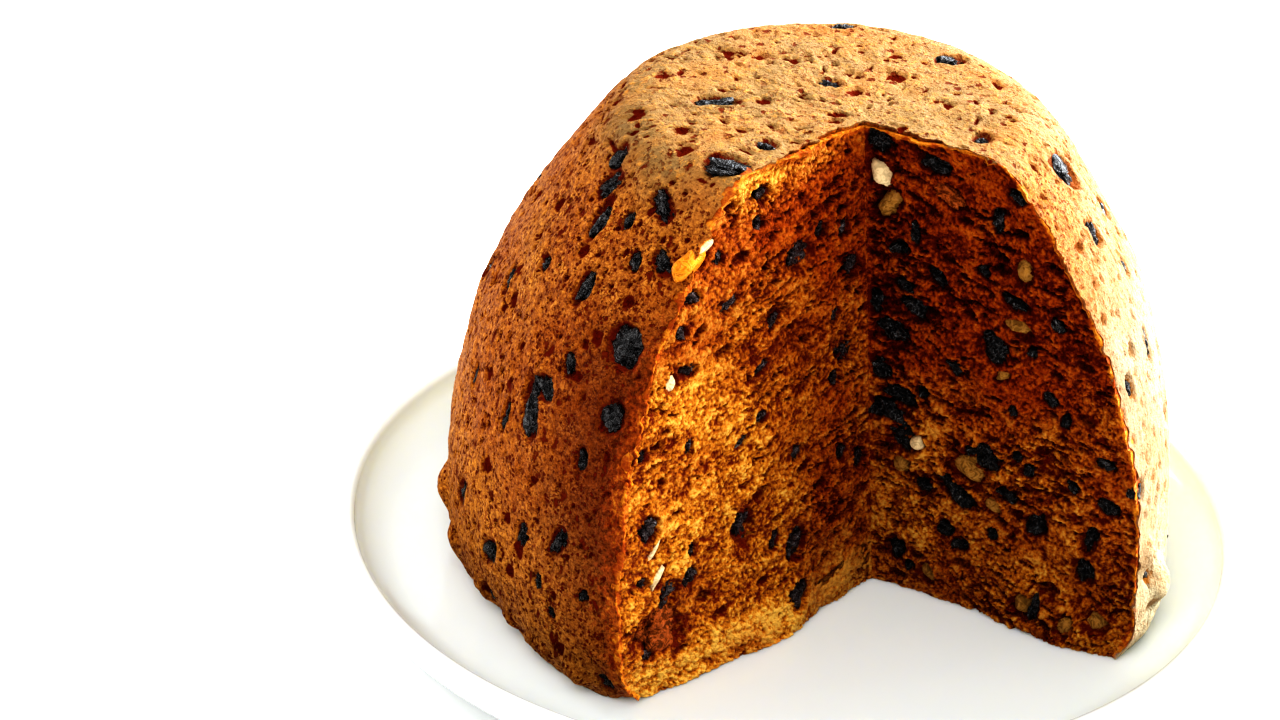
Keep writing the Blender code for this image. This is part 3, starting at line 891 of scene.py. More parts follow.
class SkinFinish(Finish):
    """Steamed skin: tan, paler on top, with dark red pits, pin-holes and fine cracks, and painted light
    and shade on its sides.
    """

    # Scale, detail and roughness of each noise
    PATCH = (42.0, 3.0, 0.55)
    MOTTLE = (150.0, 4.0, 0.62)
    GRAIN = (620.0, 4.0, 0.65)
    CRACK = (760.0, 2.0, 0.5)
    DUST = (2200.0, 2.0, 0.5)
    # Holes: scale, size in their cells and share of the cells that have one
    PIN_HOLES = (820.0, 0.52, 0.95)
    SMALL_HOLES = (360.0, 0.44, 0.45)
    SLOTS = (190.0, 0.30, 0.42)
    UPRIGHT = (1.0, 1.0, 0.55)
    # What the mesh keeps, the level from which it shows, and how sharply
    MARKS = (("pit", 0.36, 5.0), ("halo", 0.68, 3.0), ("rim", 0.25, 1.6))
    GRAIN_SHADE = (0.22, 0.07, 0.03)
    CRACK_SHADE = (0.36, 0.10, 0.04)
    BAND_SHADE = (0.42, 0.30, 0.38)

    def __init__(self):
        super().__init__("pudding_skin")
        vector = self.object_place()
        self.mottle = self.even_noise(vector, *self.MOTTLE)
        self.grain = self.even_noise(vector, *self.GRAIN)
        self.dust = self.even_noise(vector, *self.DUST)
        self.patchy = self.total((self.even_noise(vector, *self.PATCH), 1.5), (self.mottle, 0.9))
        self.ragged = self.total((self.grain, 1.1), (self.mottle, 0.7))
        place = self.node("ShaderNodeSeparateXYZ", Vector=vector).outputs
        self.up = self.line(place["Z"], 1 / PUDDING_HEIGHT, -BASE_Z / PUDDING_HEIGHT)
        self.top = self.ramp(self.up, (0.89, 0.0), (0.985, 0.88))
        # Painted light on the window side, growing towards +X
        self.side = self.ramp(self.times(place["X"], 1 / WIDEST_RADIUS), (0.55, 0.0), (0.85, 0.80))
        # Painted light at the far left, growing towards -X
        self.gold = self.ramp(self.times(place["X"], -1 / WIDEST_RADIUS), (0.70, 0.0), (0.96, 0.75))
        # The brown wall, which is neither the pale top nor the side with painted window light
        self.wall = self.line(self.larger(self.top, self.side), -1.0, 1.0)
        # Cracks follow one level of a noise and come and go in patches
        level = self.math("ABSOLUTE", self.even_noise(vector, *self.CRACK))
        thin = self.line(level, -10.0, 1.0, clamp=True)
        where = self.line(self.mottle, 3.5, 0.5, clamp=True)
        self.cracks = self.times(self.times(thin, where), self.wall)
        self.points = self.pores(vector)

    def pores(self, vector):
        """Pin-holes, small holes and slots, fainter on the flat top and on the side with painted window
        light.
        """
        upright = self.object_place(self.UPRIGHT)
        flat = self.ramp(self.up, (0.92, 0.0), (0.985, 1.0))
        fine = self.line(self.larger(self.times(flat, 0.65), self.side), -0.85, 1.0)
        pins = self.times(self.holes(vector, *self.PIN_HOLES), fine)
        small = self.times(self.holes(upright, *self.SMALL_HOLES), self.line(self.side, -0.6, 0.9))
        slots = self.times(self.holes(upright, *self.SLOTS), fine)
        return self.larger(self.larger(pins, small), slots)

    def holes(self, vector, scale, size, share):
        tree = bpy.data.node_groups.get("Holes") or hole_group()
        group = self.node("ShaderNodeGroup", node_tree=tree, Vector=vector, Scale=scale, Size=size,
                          Share=share)
        return group.outputs["Mask"]

    def base_colour(self, tint):
        """The skin's colours, which change with height and side and run into each other: painted light
        on the window side, at the far left and low on the wall.
        """
        # Lighter in patches of the skin's own warmer tone, and towards the foot as painted fill light
        warmth_and_foot_light = self.ramp(self.up, (0.0, 0.95), (0.30, 0.66), (0.50, 0.06), (0.78, 0.56))
        warmth_and_foot_light = self.plus(warmth_and_foot_light, self.patchy, clamp=True)
        colour = self.blend(warmth_and_foot_light, tint.skin, tint.skin_warm)
        # Painted light: palest cream low on the window side
        low = self.times(self.ramp(self.up, (0.08, 1.0), (0.30, 0.0)), self.side)
        for amount, paint in ((self.gold, tint.painted_left_light_skin), (self.top, tint.skin_pale),
                              (self.side, tint.painted_lit_skin), (low, tint.painted_lit_foot)):
            spread = self.times(self.times(self.patchy, amount), 1.2)
            colour = self.blend(self.plus(spread, amount, clamp=True), colour, paint)
        return colour

    def weather(self, colour, tint):
        """Dark and light grain, cracks, and painted shade in a strip beside the left cut."""
        tone = self.total((self.grain, 3.0), (self.mottle, 1.6), (self.dust, 1.6))
        dark = self.times(self.line(tone, -1.0, 0.20, clamp=True), self.wall)
        colour = self.blend(dark, colour, self.GRAIN_SHADE, "MULTIPLY")
        calm = self.line(self.side, -1.0, 1.0)
        light = self.times(self.line(tone, 0.9, -0.08, clamp=True), calm)
        colour = self.blend(light, colour, [1.2 * channel for channel in tint.skin_warm])
        colour = self.blend(self.cracks, colour, self.CRACK_SHADE, "MULTIPLY")
        # Painted shade in a strip beside the left cut
        band = self.times(self.stored("band"), self.plus(self.ragged, 0.95), clamp=True)
        return self.blend(band, colour, self.BAND_SHADE, "MULTIPLY")

    def mark(self, colour, tint):
        """Pits, pores, painted shade in the hollows round fruit, and the rims of the cuts. Gives the
        hollows too.
        """
        masks, raw = {}, {}
        for name, start, sharp in self.MARKS:
            raw[name] = self.stored(name)
            level = self.math("SUBTRACT", self.plus(raw[name], self.ragged), start)
            masks[name] = self.times(level, sharp, clamp=True)
        # On the side with painted window light, pits are fainter and lighter
        shallow = self.line(self.side, -0.6, 1.0)
        hollow = self.larger(self.points, self.times(masks["pit"], shallow))
        deep = self.blend(self.side, tint.skin_deep, tint.painted_lit_pits)
        colour = self.blend(hollow, colour, deep)
        # Painted shade in the gap round each piece of fruit
        colour = self.blend(masks["halo"], colour, deep)
        crumbs = self.ramp(self.total((self.ragged, 1.2), (raw["rim"], 0.8)),
                           (0.20, tint.skin_deep), (0.50, tint.crust_edge), (0.78, tint.crust_tip))
        return self.blend(masks["rim"], colour, crumbs), hollow


def skin_material():
    tint = colours()
    skin = SkinFinish()
    colour = skin.weather(skin.base_colour(tint), tint)
    colour, hollow = skin.mark(colour, tint)
    skin.shade({"Base Color": colour, "Roughness": skin.line(hollow, 0.35, 0.65),
                "Specular IOR Level": 0.18, "Specular Tint": (*SKIN_GLOSS, 1.0)})
    height = skin.total((skin.grain, 1.5), (skin.mottle, 1.8), (skin.dust, 0.45),
                        (skin.cracks, -0.35), (skin.points, -1.0))
    skin.bump(height, 1.0, 0.6 * MM)
    return skin.material


def crumb_material():
    """Cut crumb: a damp sponge, paler on its tips and deep red-brown in its hollows, its own colour
    with painted highlight on the tips and painted shade in the hollows.
    """
    tint = colours()
    crumb = Finish("pudding_crumb")
    vector = crumb.object_place()
    grain = crumb.noise(vector, 1000.0, 4.0, 0.6)
    clump = crumb.noise(vector, 300.0, 4.0, 0.6)
    even_grain, even_clump = (crumb.math("SUBTRACT", part, 0.5) for part in (grain, clump))
    # The stored paleness: the crumb's own tone, with painted shade in gaps, holes and creases and
    # painted highlight on raised clumps
    level = crumb.total((crumb.stored("relief"), 0.62), (even_grain, 1.15), (even_clump, 1.0))
    level = crumb.plus(level, 0.20)
    middle = [0.35 * high + 0.65 * low for low, high in zip(tint.crumb_deep, tint.crumb)]
    colour = crumb.ramp(level, (0.20, tint.crumb_deep), (0.34, middle), (0.52, tint.crumb),
                        (0.78, tint.crumb_pale))
    # Darker and redder: damp crumb in patches, and painted shade on the shaded right face and near the
    # inner edge
    colour = crumb.blend(crumb.stored("moist"), colour, (0.53, 0.25, 0.13), "MULTIPLY")
    rim = crumb.stored("rim")
    colour = crumb.blend(crumb.times(rim, 0.75), colour, tint.crust_edge)
    tip = crumb.ramp(crumb.line(even_clump, 3.0, rim), (0.70, 0.0), (0.95, 1.0))
    tip = crumb.times(crumb.times(tip, grain), 1.4)
    colour = crumb.blend(tip, colour, tint.crust_tip)
    crumb.shade({"Base Color": colour, "Roughness": crumb.line(grain, 0.4, 0.38),
                 "Specular IOR Level": 0.35, "Specular Tint": (*CRUMB_GLOSS, 1.0)})
    crumb.bump(level, 1.0, 0.7 * MM)
    return crumb.material


def fruit_material(name, colour, depth_shade, roughness, bump_depth, gloss, bloom_and_sheen):
    """Dried or candied fruit: a soft skin with a net of folds, painted highlights along them and
    painted shade between, a sticky gloss, and grey patches, partly a whitish film and partly painted
    sheen.
    """
    fruit = Finish(name)
    vector = fruit.object_place()
    # Painted highlights: where its folds stand up, fruit is paler and greyer, the more so the darker it
    # is
    grey = 0.12 * max(0.0, 1 - 3 * max(colour)) + 0.03
    ridge = [0.9 * channel + grey for channel in colour]
    deep = [channel * depth_shade for channel in colour]
    wrinkle = fruit.noise(vector, 430.0, 3.0, 0.6, distortion=1.0)
    fold = fruit.math("ABSOLUTE", fruit.math("SUBTRACT", wrinkle, 0.5))
    # Painted highlight on the fold lines, painted shade in the depths between them
    tone = fruit.ramp(fold, (0.0, ridge), (0.022, colour), (0.10, deep))
    # Grey patches: partly a whitish film, partly painted sheen
    patch = fruit.ramp(fruit.noise(vector, 240.0, 2.0), (0.56, 0.0), (0.68, bloom_and_sheen))
    fruit.shade({"Base Color": fruit.blend(patch, tone, ridge),
                 "Roughness": fruit.line(wrinkle, 0.4, roughness),
                 "Specular IOR Level": 0.4, "Specular Tint": (*gloss, 1.0)})
    fruit.bump(fruit.times(fold, -5.0), 0.9, bump_depth)
    return fruit.material


def porcelain_material():
    """White glaze with the faint waviness of a fired plate."""
    glaze = Finish("white_porcelain")
    wave = glaze.noise(glaze.object_place(), 22.0, 2.0)
    tint = colours().porcelain
    glaze.shade({"Base Color": glaze.blend(wave, tint, [channel * 0.985 for channel in tint]),
                 "Roughness": glaze.line(wave, 0.06, 0.07), "Specular IOR Level": 0.3,
                 "Subsurface Weight": 0.5, "Subsurface Radius": (1.0, 0.95, 0.65),
                 "Subsurface Scale": 10 * MM, "Coat Weight": 0.12, "Coat Roughness": 0.04})
    glaze.bump(wave, 0.2, 0.15 * MM)
    return glaze.material


def floor_material():
    """The pale table, which glows a little so that it stays white."""
    table = Finish("floor")
    table.shade({"Base Color": (*colours().floor, 1.0), "Roughness": 0.6,
                 "Emission Color": (1.0, 1.0, 1.0, 1.0), "Emission Strength": 0.15})
    return table.material


# Pieces


def finish_piece(piece, material, slot, *replaced):
    """Give a piece its one material and say where it belongs."""
    piece.data.materials.clear()
    piece.data.materials.append(material)
    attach(piece, "root")
    if replaced:
        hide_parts(*replaced)


class PUDDING_OT_stage(bpy.types.Operator):
    """Add the camera, the light and the table"""
    bl_idname = "pudding.stage"
    bl_label = "Stage"

    SKYLIGHT = (0.84, 0.93, 1.0)
    # Each light's name, the setting of its power, its place, width and height, and colour
    LIGHTS = (("window_key", "key", (1.15, 0.34, 0.72), (1.1, 1.0), WHITE),
              ("top_light", "top", (0.1, -0.12, 1.5), (0.7, 0.7), WHITE),
              ("back_window", "back", (0.80, 1.15, 0.50), (1.3, 0.9), SKYLIGHT),
              ("left_fill", "fill", (-1.25, 0.75, 0.7), (0.5, 0.9), WHITE),
              ("table_light", "table", (-0.25, -1.1, 1.0), (0.9, 0.9), WHITE))
    LIGHT_TARGET = Vector((0, 0, 0.06))
    FLOOR_SIZE = 8.0

    def execute(self, context):
        scene = context.scene
        self.add_camera(scene)
        settings = scene.pudding_light
        for name, setting, place, size, colour in self.LIGHTS:
            self.add_light(name, place, size, getattr(settings, setting), colour)
        world = bpy.data.worlds.new("studio")
        world.use_nodes = True
        background = world.node_tree.nodes["Background"]
        background.inputs["Color"].default_value = (*WHITE, 1.0)
        background.inputs["Strength"].default_value = settings.sky
        scene.world = world
        scene.view_settings.view_transform = "Standard"
        scene.view_settings.look = "Very High Contrast"
        self.add_floor()
        return {"FINISHED"}

    def add_floor(self):
        deselect()
        bpy.ops.mesh.primitive_plane_add(size=self.FLOOR_SIZE, location=(0, 0, 0))
        floor = bpy.context.active_object
        floor.name = "floor"
        floor.data.materials.append(floor_material())

    def add_camera(self, scene):
        """The camera that the outline, the cut and the plate's rim agree on."""
        tilt = math.radians(CAMERA_TILT)
        centre = Vector((PUDDING_X, PUDDING_Y, BASE_Z + PUDDING_HEIGHT / 2))
        place = centre + CAMERA_DISTANCE * Vector((0, -math.cos(tilt), math.sin(tilt)))
        look = Vector((0, math.cos(tilt), -math.sin(tilt)))
        right = Vector((1, 0, 0))
        up = right.cross(look)
        turn = Matrix.Rotation(math.radians(CAMERA_YAW), 3, up)
        look, right = turn @ look, turn @ right
        turn = Matrix.Rotation(math.radians(CAMERA_PITCH), 3, right)
        look, up = turn @ look, turn @ up
        turn = Matrix.Rotation(math.radians(CAMERA_ROLL), 3, look)
        right, up = turn @ right, turn @ up
        data = bpy.data.cameras.new("camera")
        data.lens = CAMERA_LENS
        camera = bpy.data.objects.new("camera", data)
        turned = Matrix((right, up, -look)).transposed().to_4x4()
        camera.matrix_world = Matrix.Translation(place) @ turned
        scene.collection.objects.link(camera)
        scene.camera = camera

    def add_light(self, name, place, size, power, colour):
        """A soft rectangular light, turned to the pudding."""
        data = bpy.data.lights.new(name, "AREA")
        data.color = colour
        data.shape = "RECTANGLE"
        data.size, data.size_y = size
        data.energy = power
        light = bpy.data.objects.new(name, data)
        light.location = place
        aim = self.LIGHT_TARGET - Vector(place)
        light.rotation_euler = aim.to_track_quat("-Z", "Y").to_euler()
        bpy.context.scene.collection.objects.link(light)


class PUDDING_OT_plate(bpy.types.Operator):
    """Turn the white plate"""
    bl_idname = "pudding.plate"
    bl_label = "Plate"

    PLATE_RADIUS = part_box("plate")[1][0]
    PLATE_HEIGHT = 18.0 * MM
    WELL_RADIUS = 103.0 * MM
    WELL_TOP = 8.0 * MM
    THICKNESS = 4.5 * MM
    LIP_THICKNESS = 4.0 * MM
    FOOT_RADIUS = 68.5 * MM
    FOOT_WIDTH = 5.0 * MM
    # The foot's rounding, and how far its sides and their roots spread under the well
    FOOT_ROUND = 0.5 * MM
    FOOT_DRAFT = 0.6 * MM
    FOOT_FLARE = 2 * MM
    WELL_RINGS = (0.8, 0.5, 0.2, 0.0)
    # Faces along the underside's curve, the lip and the well's curve, and all the way round
    UNDER_STEPS = 14
    LIP_STEPS = 12
    WELL_STEPS = 16
    TURN_STEPS = 144
    SMOOTH_ANGLE = 40

    def execute(self, context):
        deselect()
        bpy.ops.mesh.primitive_plane_add(size=MM, location=(0, 0, 0))
        plate = context.active_object
        bpy.ops.object.mode_set(mode="EDIT")
        bpy.ops.mesh.merge(type="CENTER")
        profile = self.profile()
        start = Vector((profile[0][0], 0, profile[0][1]))
        bpy.ops.transform.translate(value=start)
        for (radius, height), (next_radius, next_height) in zip(profile, profile[1:]):
            step = (next_radius - radius, 0, next_height - height)
            bpy.ops.mesh.extrude_region_move(TRANSFORM_OT_translate={"value": step})
        bpy.ops.mesh.select_all(action="SELECT")
        bpy.ops.mesh.spin(steps=self.TURN_STEPS, angle=2 * math.pi, center=(0, 0, 0),
                          axis=(0, 0, 1))
        bpy.ops.mesh.select_all(action="SELECT")
        bpy.ops.mesh.remove_doubles(threshold=DOUBLES)
        bpy.ops.mesh.normals_make_consistent(inside=False)
        leave_edit()
        bpy.ops.object.shade_smooth_by_angle(angle=math.radians(self.SMOOTH_ANGLE))
        plate = join([plate], "porcelain_plate")
        finish_piece(plate, porcelain_material(), "plate", "plate")
        self.share_light(plate)
        return {"FINISHED"}

    def share_light(self, plate):
        """Keep the strong lights off the plate, whose white they would burn out, and give it a
        softer one of its own."""
        for names, state in ((("window_key", "back_window", "top_light"), "EXCLUDE"),
                             (("table_light",), "INCLUDE")):
            lit = bpy.data.collections.new("plate_" + state.lower())
            lit.objects.link(plate)
            lit.collection_objects[0].light_linking.link_state = state
            for name in names:
                bpy.data.objects[name].light_linking.receiver_collection = lit

    def profile(self):
        """From the middle of the underside, round the lip, to the middle of the top."""
        under = self.WELL_TOP - self.THICKNESS
        foot_in, foot_out = (self.FOOT_RADIUS + side * self.FOOT_WIDTH / 2 for side in (-1, 1))
        lip = self.LIP_THICKNESS / 2
        lip_r, lip_z = self.PLATE_RADIUS - lip, self.PLATE_HEIGHT - lip
        outer = (self.PLATE_RADIUS - self.WELL_RADIUS, lip_z - under)
        inner = (lip_r - lip - self.WELL_RADIUS, lip_z - self.WELL_TOP)
        edge = self.FOOT_ROUND
        points = [(0.0, under)]
        points += [(foot_in - self.FOOT_FLARE, under), (foot_in - self.FOOT_DRAFT, under - edge)]
        points += [(foot_in, edge), (foot_in + edge, 0.0), (foot_out - edge, 0.0), (foot_out, edge)]
        points += [(foot_out + self.FOOT_DRAFT, under - edge), (foot_out + self.FOOT_FLARE, under)]
        points += self.arc((self.WELL_RADIUS, lip_z), outer, -90, 0, self.UNDER_STEPS)
        points += self.arc((lip_r, lip_z), (lip, lip), 0, 180, self.LIP_STEPS)[1:]
        points += self.arc((self.WELL_RADIUS, lip_z), inner, 0, -90, self.WELL_STEPS)[1:]
        points += [(self.WELL_RADIUS * share, self.WELL_TOP) for share in self.WELL_RINGS]
        return points

    def arc(self, centre, radii, start, end, count):
        """Points of an elliptical arc, angles in degrees."""
        points = []
        for step in range(count + 1):
            angle = math.radians(start + (end - start) * step / count)
            x = centre[0] + radii[0] * math.cos(angle)
            points.append((x, centre[1] + radii[1] * math.sin(angle)))
        return points


class PUDDING_OT_skin(bpy.types.Operator):
    """Lay the steamed skin over the dome, with its pits and the hollows that fruit lies in"""
    bl_idname = "pudding.skin"
    bl_label = "Skin"

    # Cell, bend, least and most radius in cells, share of cells without a pit, seed
    PITS = ((8.0 * MM, 0.12, 0.10, 0.30, 0.42, 21), (3.4 * MM, 0.22, 0.12, 0.30, 0.30, 22))
    WARP_SIZE = 1.6 * MM
    # The shoulder: its height as a share, and how far round it pits are closer together
    SHOULDER = 0.88
    SHOULDER_SPREAD = 14 * MM
    CREASE_LENGTH = 15.0 * MM
    CREASE_WIDTH = 3.0 * MM
    CREASE_TURN = 50 * MM
    # Between what heights, and between what radii, creases come in
    CREASE_RISE = (0.82 * PUDDING_HEIGHT, 0.92 * PUDDING_HEIGHT)
    CREASE_RADIUS = (16 * MM, 26 * MM)
    WRINKLE_SIZE = 3.6 * MM
    WRINKLE_DEPTH = 0.45 * MM
    FOLD_SIZE = 2.6 * MM
    FOLD_DEPTH = 0.7 * MM
    FOLD_HEIGHT = 0.93
    FOLD_SPREAD = 9 * MM
    FOLDS_ROUND = 8.0
    FOLD_SHARPNESS = 6
    # On the flat top, the folds come in only from this radius
    FLAT_TOP = PUDDING_HEIGHT - 1.5 * MM
    FOLD_RADIUS = (36 * MM, 50 * MM)
    # How fast the distance from the axis gives way to height, for patterns that cross the corner
    CORNER_SLOPE = 0.8
    EDGE_RAG = 1.4 * MM
    RAG_REACH = 5 * MM
    RAG_SIZES = (3.2 * MM, 1.3 * MM)
    # The skin's share of a full turn, its usual radius, and how much less it is on the top
    SKIN_SHARE = 0.7
    USUAL_RADIUS = 90 * MM
    NARROWING = (0.45, 0.75)
    NARROWER = 0.33
    FRUIT_LIP = 0.25 * MM
    CUT_FADE = 2.5 * MM
    # Over what height the relief fades out at the plate, and what is left of it there
    GROUND_FADE = 2.5 * MM
    GROUND_SHARE = 0.35
    FOOT_ROUGH = 1.1 * MM
    FOOT_GRAIN = 6.5 * MM
    FOOT_HEIGHT = 20.0 * MM
    # How dark the painted shade in the hollows of the foot is
    FOOT_SHADE = 0.45
    # How the open edge is turned in: towards the axis, and behind the face of the cut
    TURNED_IN = ((1.3 * MM, 0.5 * MM), (0.9 * MM, 6.0 * MM))
    # The rim low at the base and this far from the cuts moves in along the base instead
    BASE_LOW = 0.6 * MM
    BASE_CLEAR = 4 * MM
    BASE_SHARE = 0.3
    AIM_HEIGHT = 0.45
    CLOSED_AT = (PUDDING_X - 20 * MM, PUDDING_Y + 25 * MM, BASE_Z + 50 * MM)
    SMOOTH_ANGLE = 70
    # Darker rim beside each cut: face, how strong and how wide
    CUT_RIMS = ((LEFT_FACE, 0.55, 12 * MM), (RIGHT_FACE, 0.35, 4 * MM))
    RIM_TOP = (0.6 * PUDDING_HEIGHT, 0.95 * PUDDING_HEIGHT)
    # Painted shade in a strip beside the left cut: where it fades away from it, and low and high up
    BAND_FADE = (3 * MM, 38 * MM)
    BAND_FOOT = (6 * MM, 48 * MM)
    BAND_TOP = (0.62 * PUDDING_HEIGHT, 0.86 * PUDDING_HEIGHT)

    def execute(self, context):
        skin, across, up = add_grid("skin", sizes().skin_columns, sizes().skin_rows)
        turn = self.rag(spread_turns(across), up)
        places = place_on_skin(turn, up)
        write_places(skin.data, places)
        normals = read_normals(skin.data)
        move, pit, halo = self.relief(places, normals)
        free = np.maximum(fade(places[:, 2] - BASE_Z, 0.0, self.GROUND_FADE), self.GROUND_SHARE)
        places = places + normals * (move * free)[:, None]
        places[:, 2] = np.maximum(places[:, 2], BASE_Z)
        write_places(skin.data, shape_foot(places))
        # The pits, and the painted shade in the hollows of the foot
        store(skin.data, "pit", pit)
        store(skin.data, "halo", halo)
        outside = self.close(skin)
        self.store_edges(skin.data, outside)
        choose(skin)
        bpy.ops.object.shade_smooth_by_angle(angle=math.radians(self.SMOOTH_ANGLE))
        finish_piece(join([skin], "pudding_skin"), skin_material(), "pudding", "pudding")
        return {"FINISHED"}

    def rag(self, turn, up):
        """Make the edges of the cut uneven, by turning the nearest columns a little."""
        along = up * (WALL_LENGTH + TOP_LENGTH)
        spots = np.stack([along, np.zeros_like(up), np.zeros_like(up)], axis=1)
        inward = np.clip((along - WALL_LENGTH) / TOP_LENGTH, 0, 1)
        narrower = 1 - fade(up, *self.NARROWING) * self.NARROWER
        radius = self.USUAL_RADIUS * narrower * (1 - inward) + MM
        # Arc length from one cut to the other, which shrinks towards the inner edge
        spread = 2 * math.pi * self.SKIN_SHARE * radius
        coarse, fine = self.RAG_SIZES
        moved = turn.copy()
        for seed, near, side in ((3, turn, 1), (5, 1 - turn, -1)):
            shift = soft_noise(spots / coarse, seed) + 0.6 * soft_noise(spots / fine, seed)
            shift = side * (shift + 0.5 * fade(inward, 0, 0.1)) * self.EDGE_RAG / spread
            weight = 1 - fade(near * spread, 0, self.RAG_REACH)
            moved += shift * weight * (1 - fade(inward, 0.90, 0.99))
        return moved

    def relief(self, places, normals):
        """Moves along the normal, with masks for pits and the painted shade at the foot, and for the
        painted shade round fruit.
        """
        move = unevenness(places)
        nearest = np.minimum(cut_gap(places, LEFT_FACE), cut_gap(places, RIGHT_FACE))
        inner = fade(nearest, 0, self.CUT_FADE)
        move += self.WRINKLE_DEPTH * inner * rough_noise(places / self.WRINKLE_SIZE, 3, 11)
        warp = np.stack([rough_noise(places / self.WARP_SIZE, 2, 8 + axis)
                         for axis in range(3)], axis=1)
        move -= self.folds(places)
        pit = np.maximum(self.pits(places, warp), self.creases(places, warp))
        move -= sizes().pit_depth * pit
        hollow, halo = hollow_out(places, normals, skin_pieces(), sizes().fruit_hollow,
                                  self.FRUIT_LIP, 5)
        move += hollow
        self.raise_lumps(move, places, normals)
        foot = 1 - fade(places[:, 2] - BASE_Z, 0.25 * self.FOOT_HEIGHT, self.FOOT_HEIGHT)
        rough = rough_noise(places / self.FOOT_GRAIN, 4, 41)
        move += self.FOOT_ROUGH * foot * inner * rough
        # Painted shade in the hollows of the rough foot, not on the window side
        foot_shade = self.FOOT_SHADE * foot * (1 - fade(places[:, 0], 40 * MM, 65 * MM))
        shade = np.maximum(np.clip(pit, 0, 1), foot_shade * fade(-rough, 0, 0.5))
        return move, shade, halo

    def pits(self, places, warp):
        """Pits of two sizes, closer together round the shoulder."""
        pit = np.zeros(len(places))
        above = places[:, 2] - BASE_Z - self.SHOULDER * PUDDING_HEIGHT
        shoulder = np.exp(-(above / self.SHOULDER_SPREAD) ** 2)
        for cell, bend, least, most, rare, seed in self.PITS:
            bare = rare * (1 - 0.5 * shoulder)
            near, _, own = cell_noise(places / cell + bend * warp, seed)
            size = least + (most - least) * fade(own, bare, 1.0) ** 1.5
            pit = np.maximum(pit, (1 - fade(near, size * 0.7, size * 1.2)) * (own > bare))
        return pit

    def round_corner(self, places):
        """Radius, angle and height of points, with how far each is in and up over the corner."""
        flat = places[:, :2] - AXIS
        radius = np.linalg.norm(flat, axis=1)
        height = places[:, 2] - BASE_Z
        return radius, np.arctan2(flat[:, 1], flat[:, 0]), height, radius - self.CORNER_SLOPE * height

    def folds(self, places):
        """Folds round the corner of wall and top, where the skin was drawn together."""
        radius, turned, height, over = self.round_corner(places)
        folded = np.stack([over / self.FOLD_SIZE, turned * self.FOLDS_ROUND, 0 * radius], axis=1)
        folded += 0.5 * soft_noise(places / (7 * MM), 13)[:, None]
        fold = 1 - np.abs(soft_noise(folded, 14))
        around = np.exp(-((height - self.FOLD_HEIGHT * PUDDING_HEIGHT) / self.FOLD_SPREAD) ** 2)
        around = around * fade(soft_noise(places / (20 * MM), 15), -0.2, 0.5)
        on_top = around * fade(radius, *self.FOLD_RADIUS)
        around = np.where(height > self.FLAT_TOP, on_top, around)
        return self.FOLD_DEPTH * around * fold ** self.FOLD_SHARPNESS

    def creases(self, places, warp):
        """Long narrow pits that run round the top, not in its middle."""
        radius, turned, height, over = self.round_corner(places)
        drawn = np.stack([over / self.CREASE_WIDTH, turned * self.CREASE_TURN / self.CREASE_LENGTH,
                          0 * radius], axis=1)
        drawn += 0.25 * soft_noise(places / (6 * MM), 31)[:, None] + 0.06 * warp
        near, _, own = cell_noise(drawn, 32)
        crease = (1 - fade(near, 0.13, 0.30)) * (own > 0.6)
        return crease * (fade(height, *self.CREASE_RISE) * fade(radius, *self.CREASE_RADIUS))

    def raise_lumps(self, move, places, normals):
        """Add the lumps low on the wall to the moves."""
        for angle, height, length, width, lean, proud in BASE_LUMPS:
            seat = turned_seat(wall_seat(angle, height * MM), lean)
            place, across, up, normal = (np.array(part) for part in seat)
            offset = places - place
            ring = np.hypot(offset @ across / (width * MM / 2), offset @ up / (length * MM / 2))
            facing = normals @ normal > 0.2
            move += proud * MM * (1 - fade(ring, 0.2, 1.15)) * facing

    def close(self, skin):
        """Turn the open edge in and close it deep inside, so that the skin is one closed body.
        Gives the number of vertices that lie outside."""
        edit(skin)
        bpy.ops.mesh.remove_doubles(threshold=DOUBLES)
        leave_edit()
        outside = len(skin.data.vertices)
        bpy.ops.object.mode_set(mode="EDIT")
        select_rim()
        for inward, back in self.TURNED_IN:
            bpy.ops.mesh.extrude_region_move(TRANSFORM_OT_translate={"value": (0, 0, 0)})
            leave_edit()
            self.turn_in(skin.data, inward, back)
            bpy.ops.object.mode_set(mode="EDIT")
        bpy.ops.mesh.extrude_region_move(TRANSFORM_OT_translate={"value": (0, 0, 0)})
        bpy.context.scene.cursor.location = self.CLOSED_AT
        bpy.ops.mesh.merge(type="CURSOR")
        face_outwards()
        leave_edit()
        return outside

    def store_edges(self, mesh, outside):
        """Keep the rims of the cuts, and the painted shade in a strip beside the left one."""
        places = read_places(mesh)
        height = places[:, 2] - BASE_Z
        rim = (np.arange(len(places)) >= outside) * 1.0
        lower = 1 - fade(height, *self.RIM_TOP)
        for face, share, width in self.CUT_RIMS:
            beside = share * (1 - fade(cut_gap(places, face), 0, width))
            rim = np.maximum(rim, beside * (0.3 + 0.7 * lower))
        store(mesh, "rim", rim)
        band = 1 - fade(cut_gap(places, LEFT_FACE), *self.BAND_FADE)
        band *= 0.25 + 0.75 * fade(height, *self.BAND_FOOT)
        band *= 1 - fade(height, *self.BAND_TOP)
        store(mesh, "band", band)

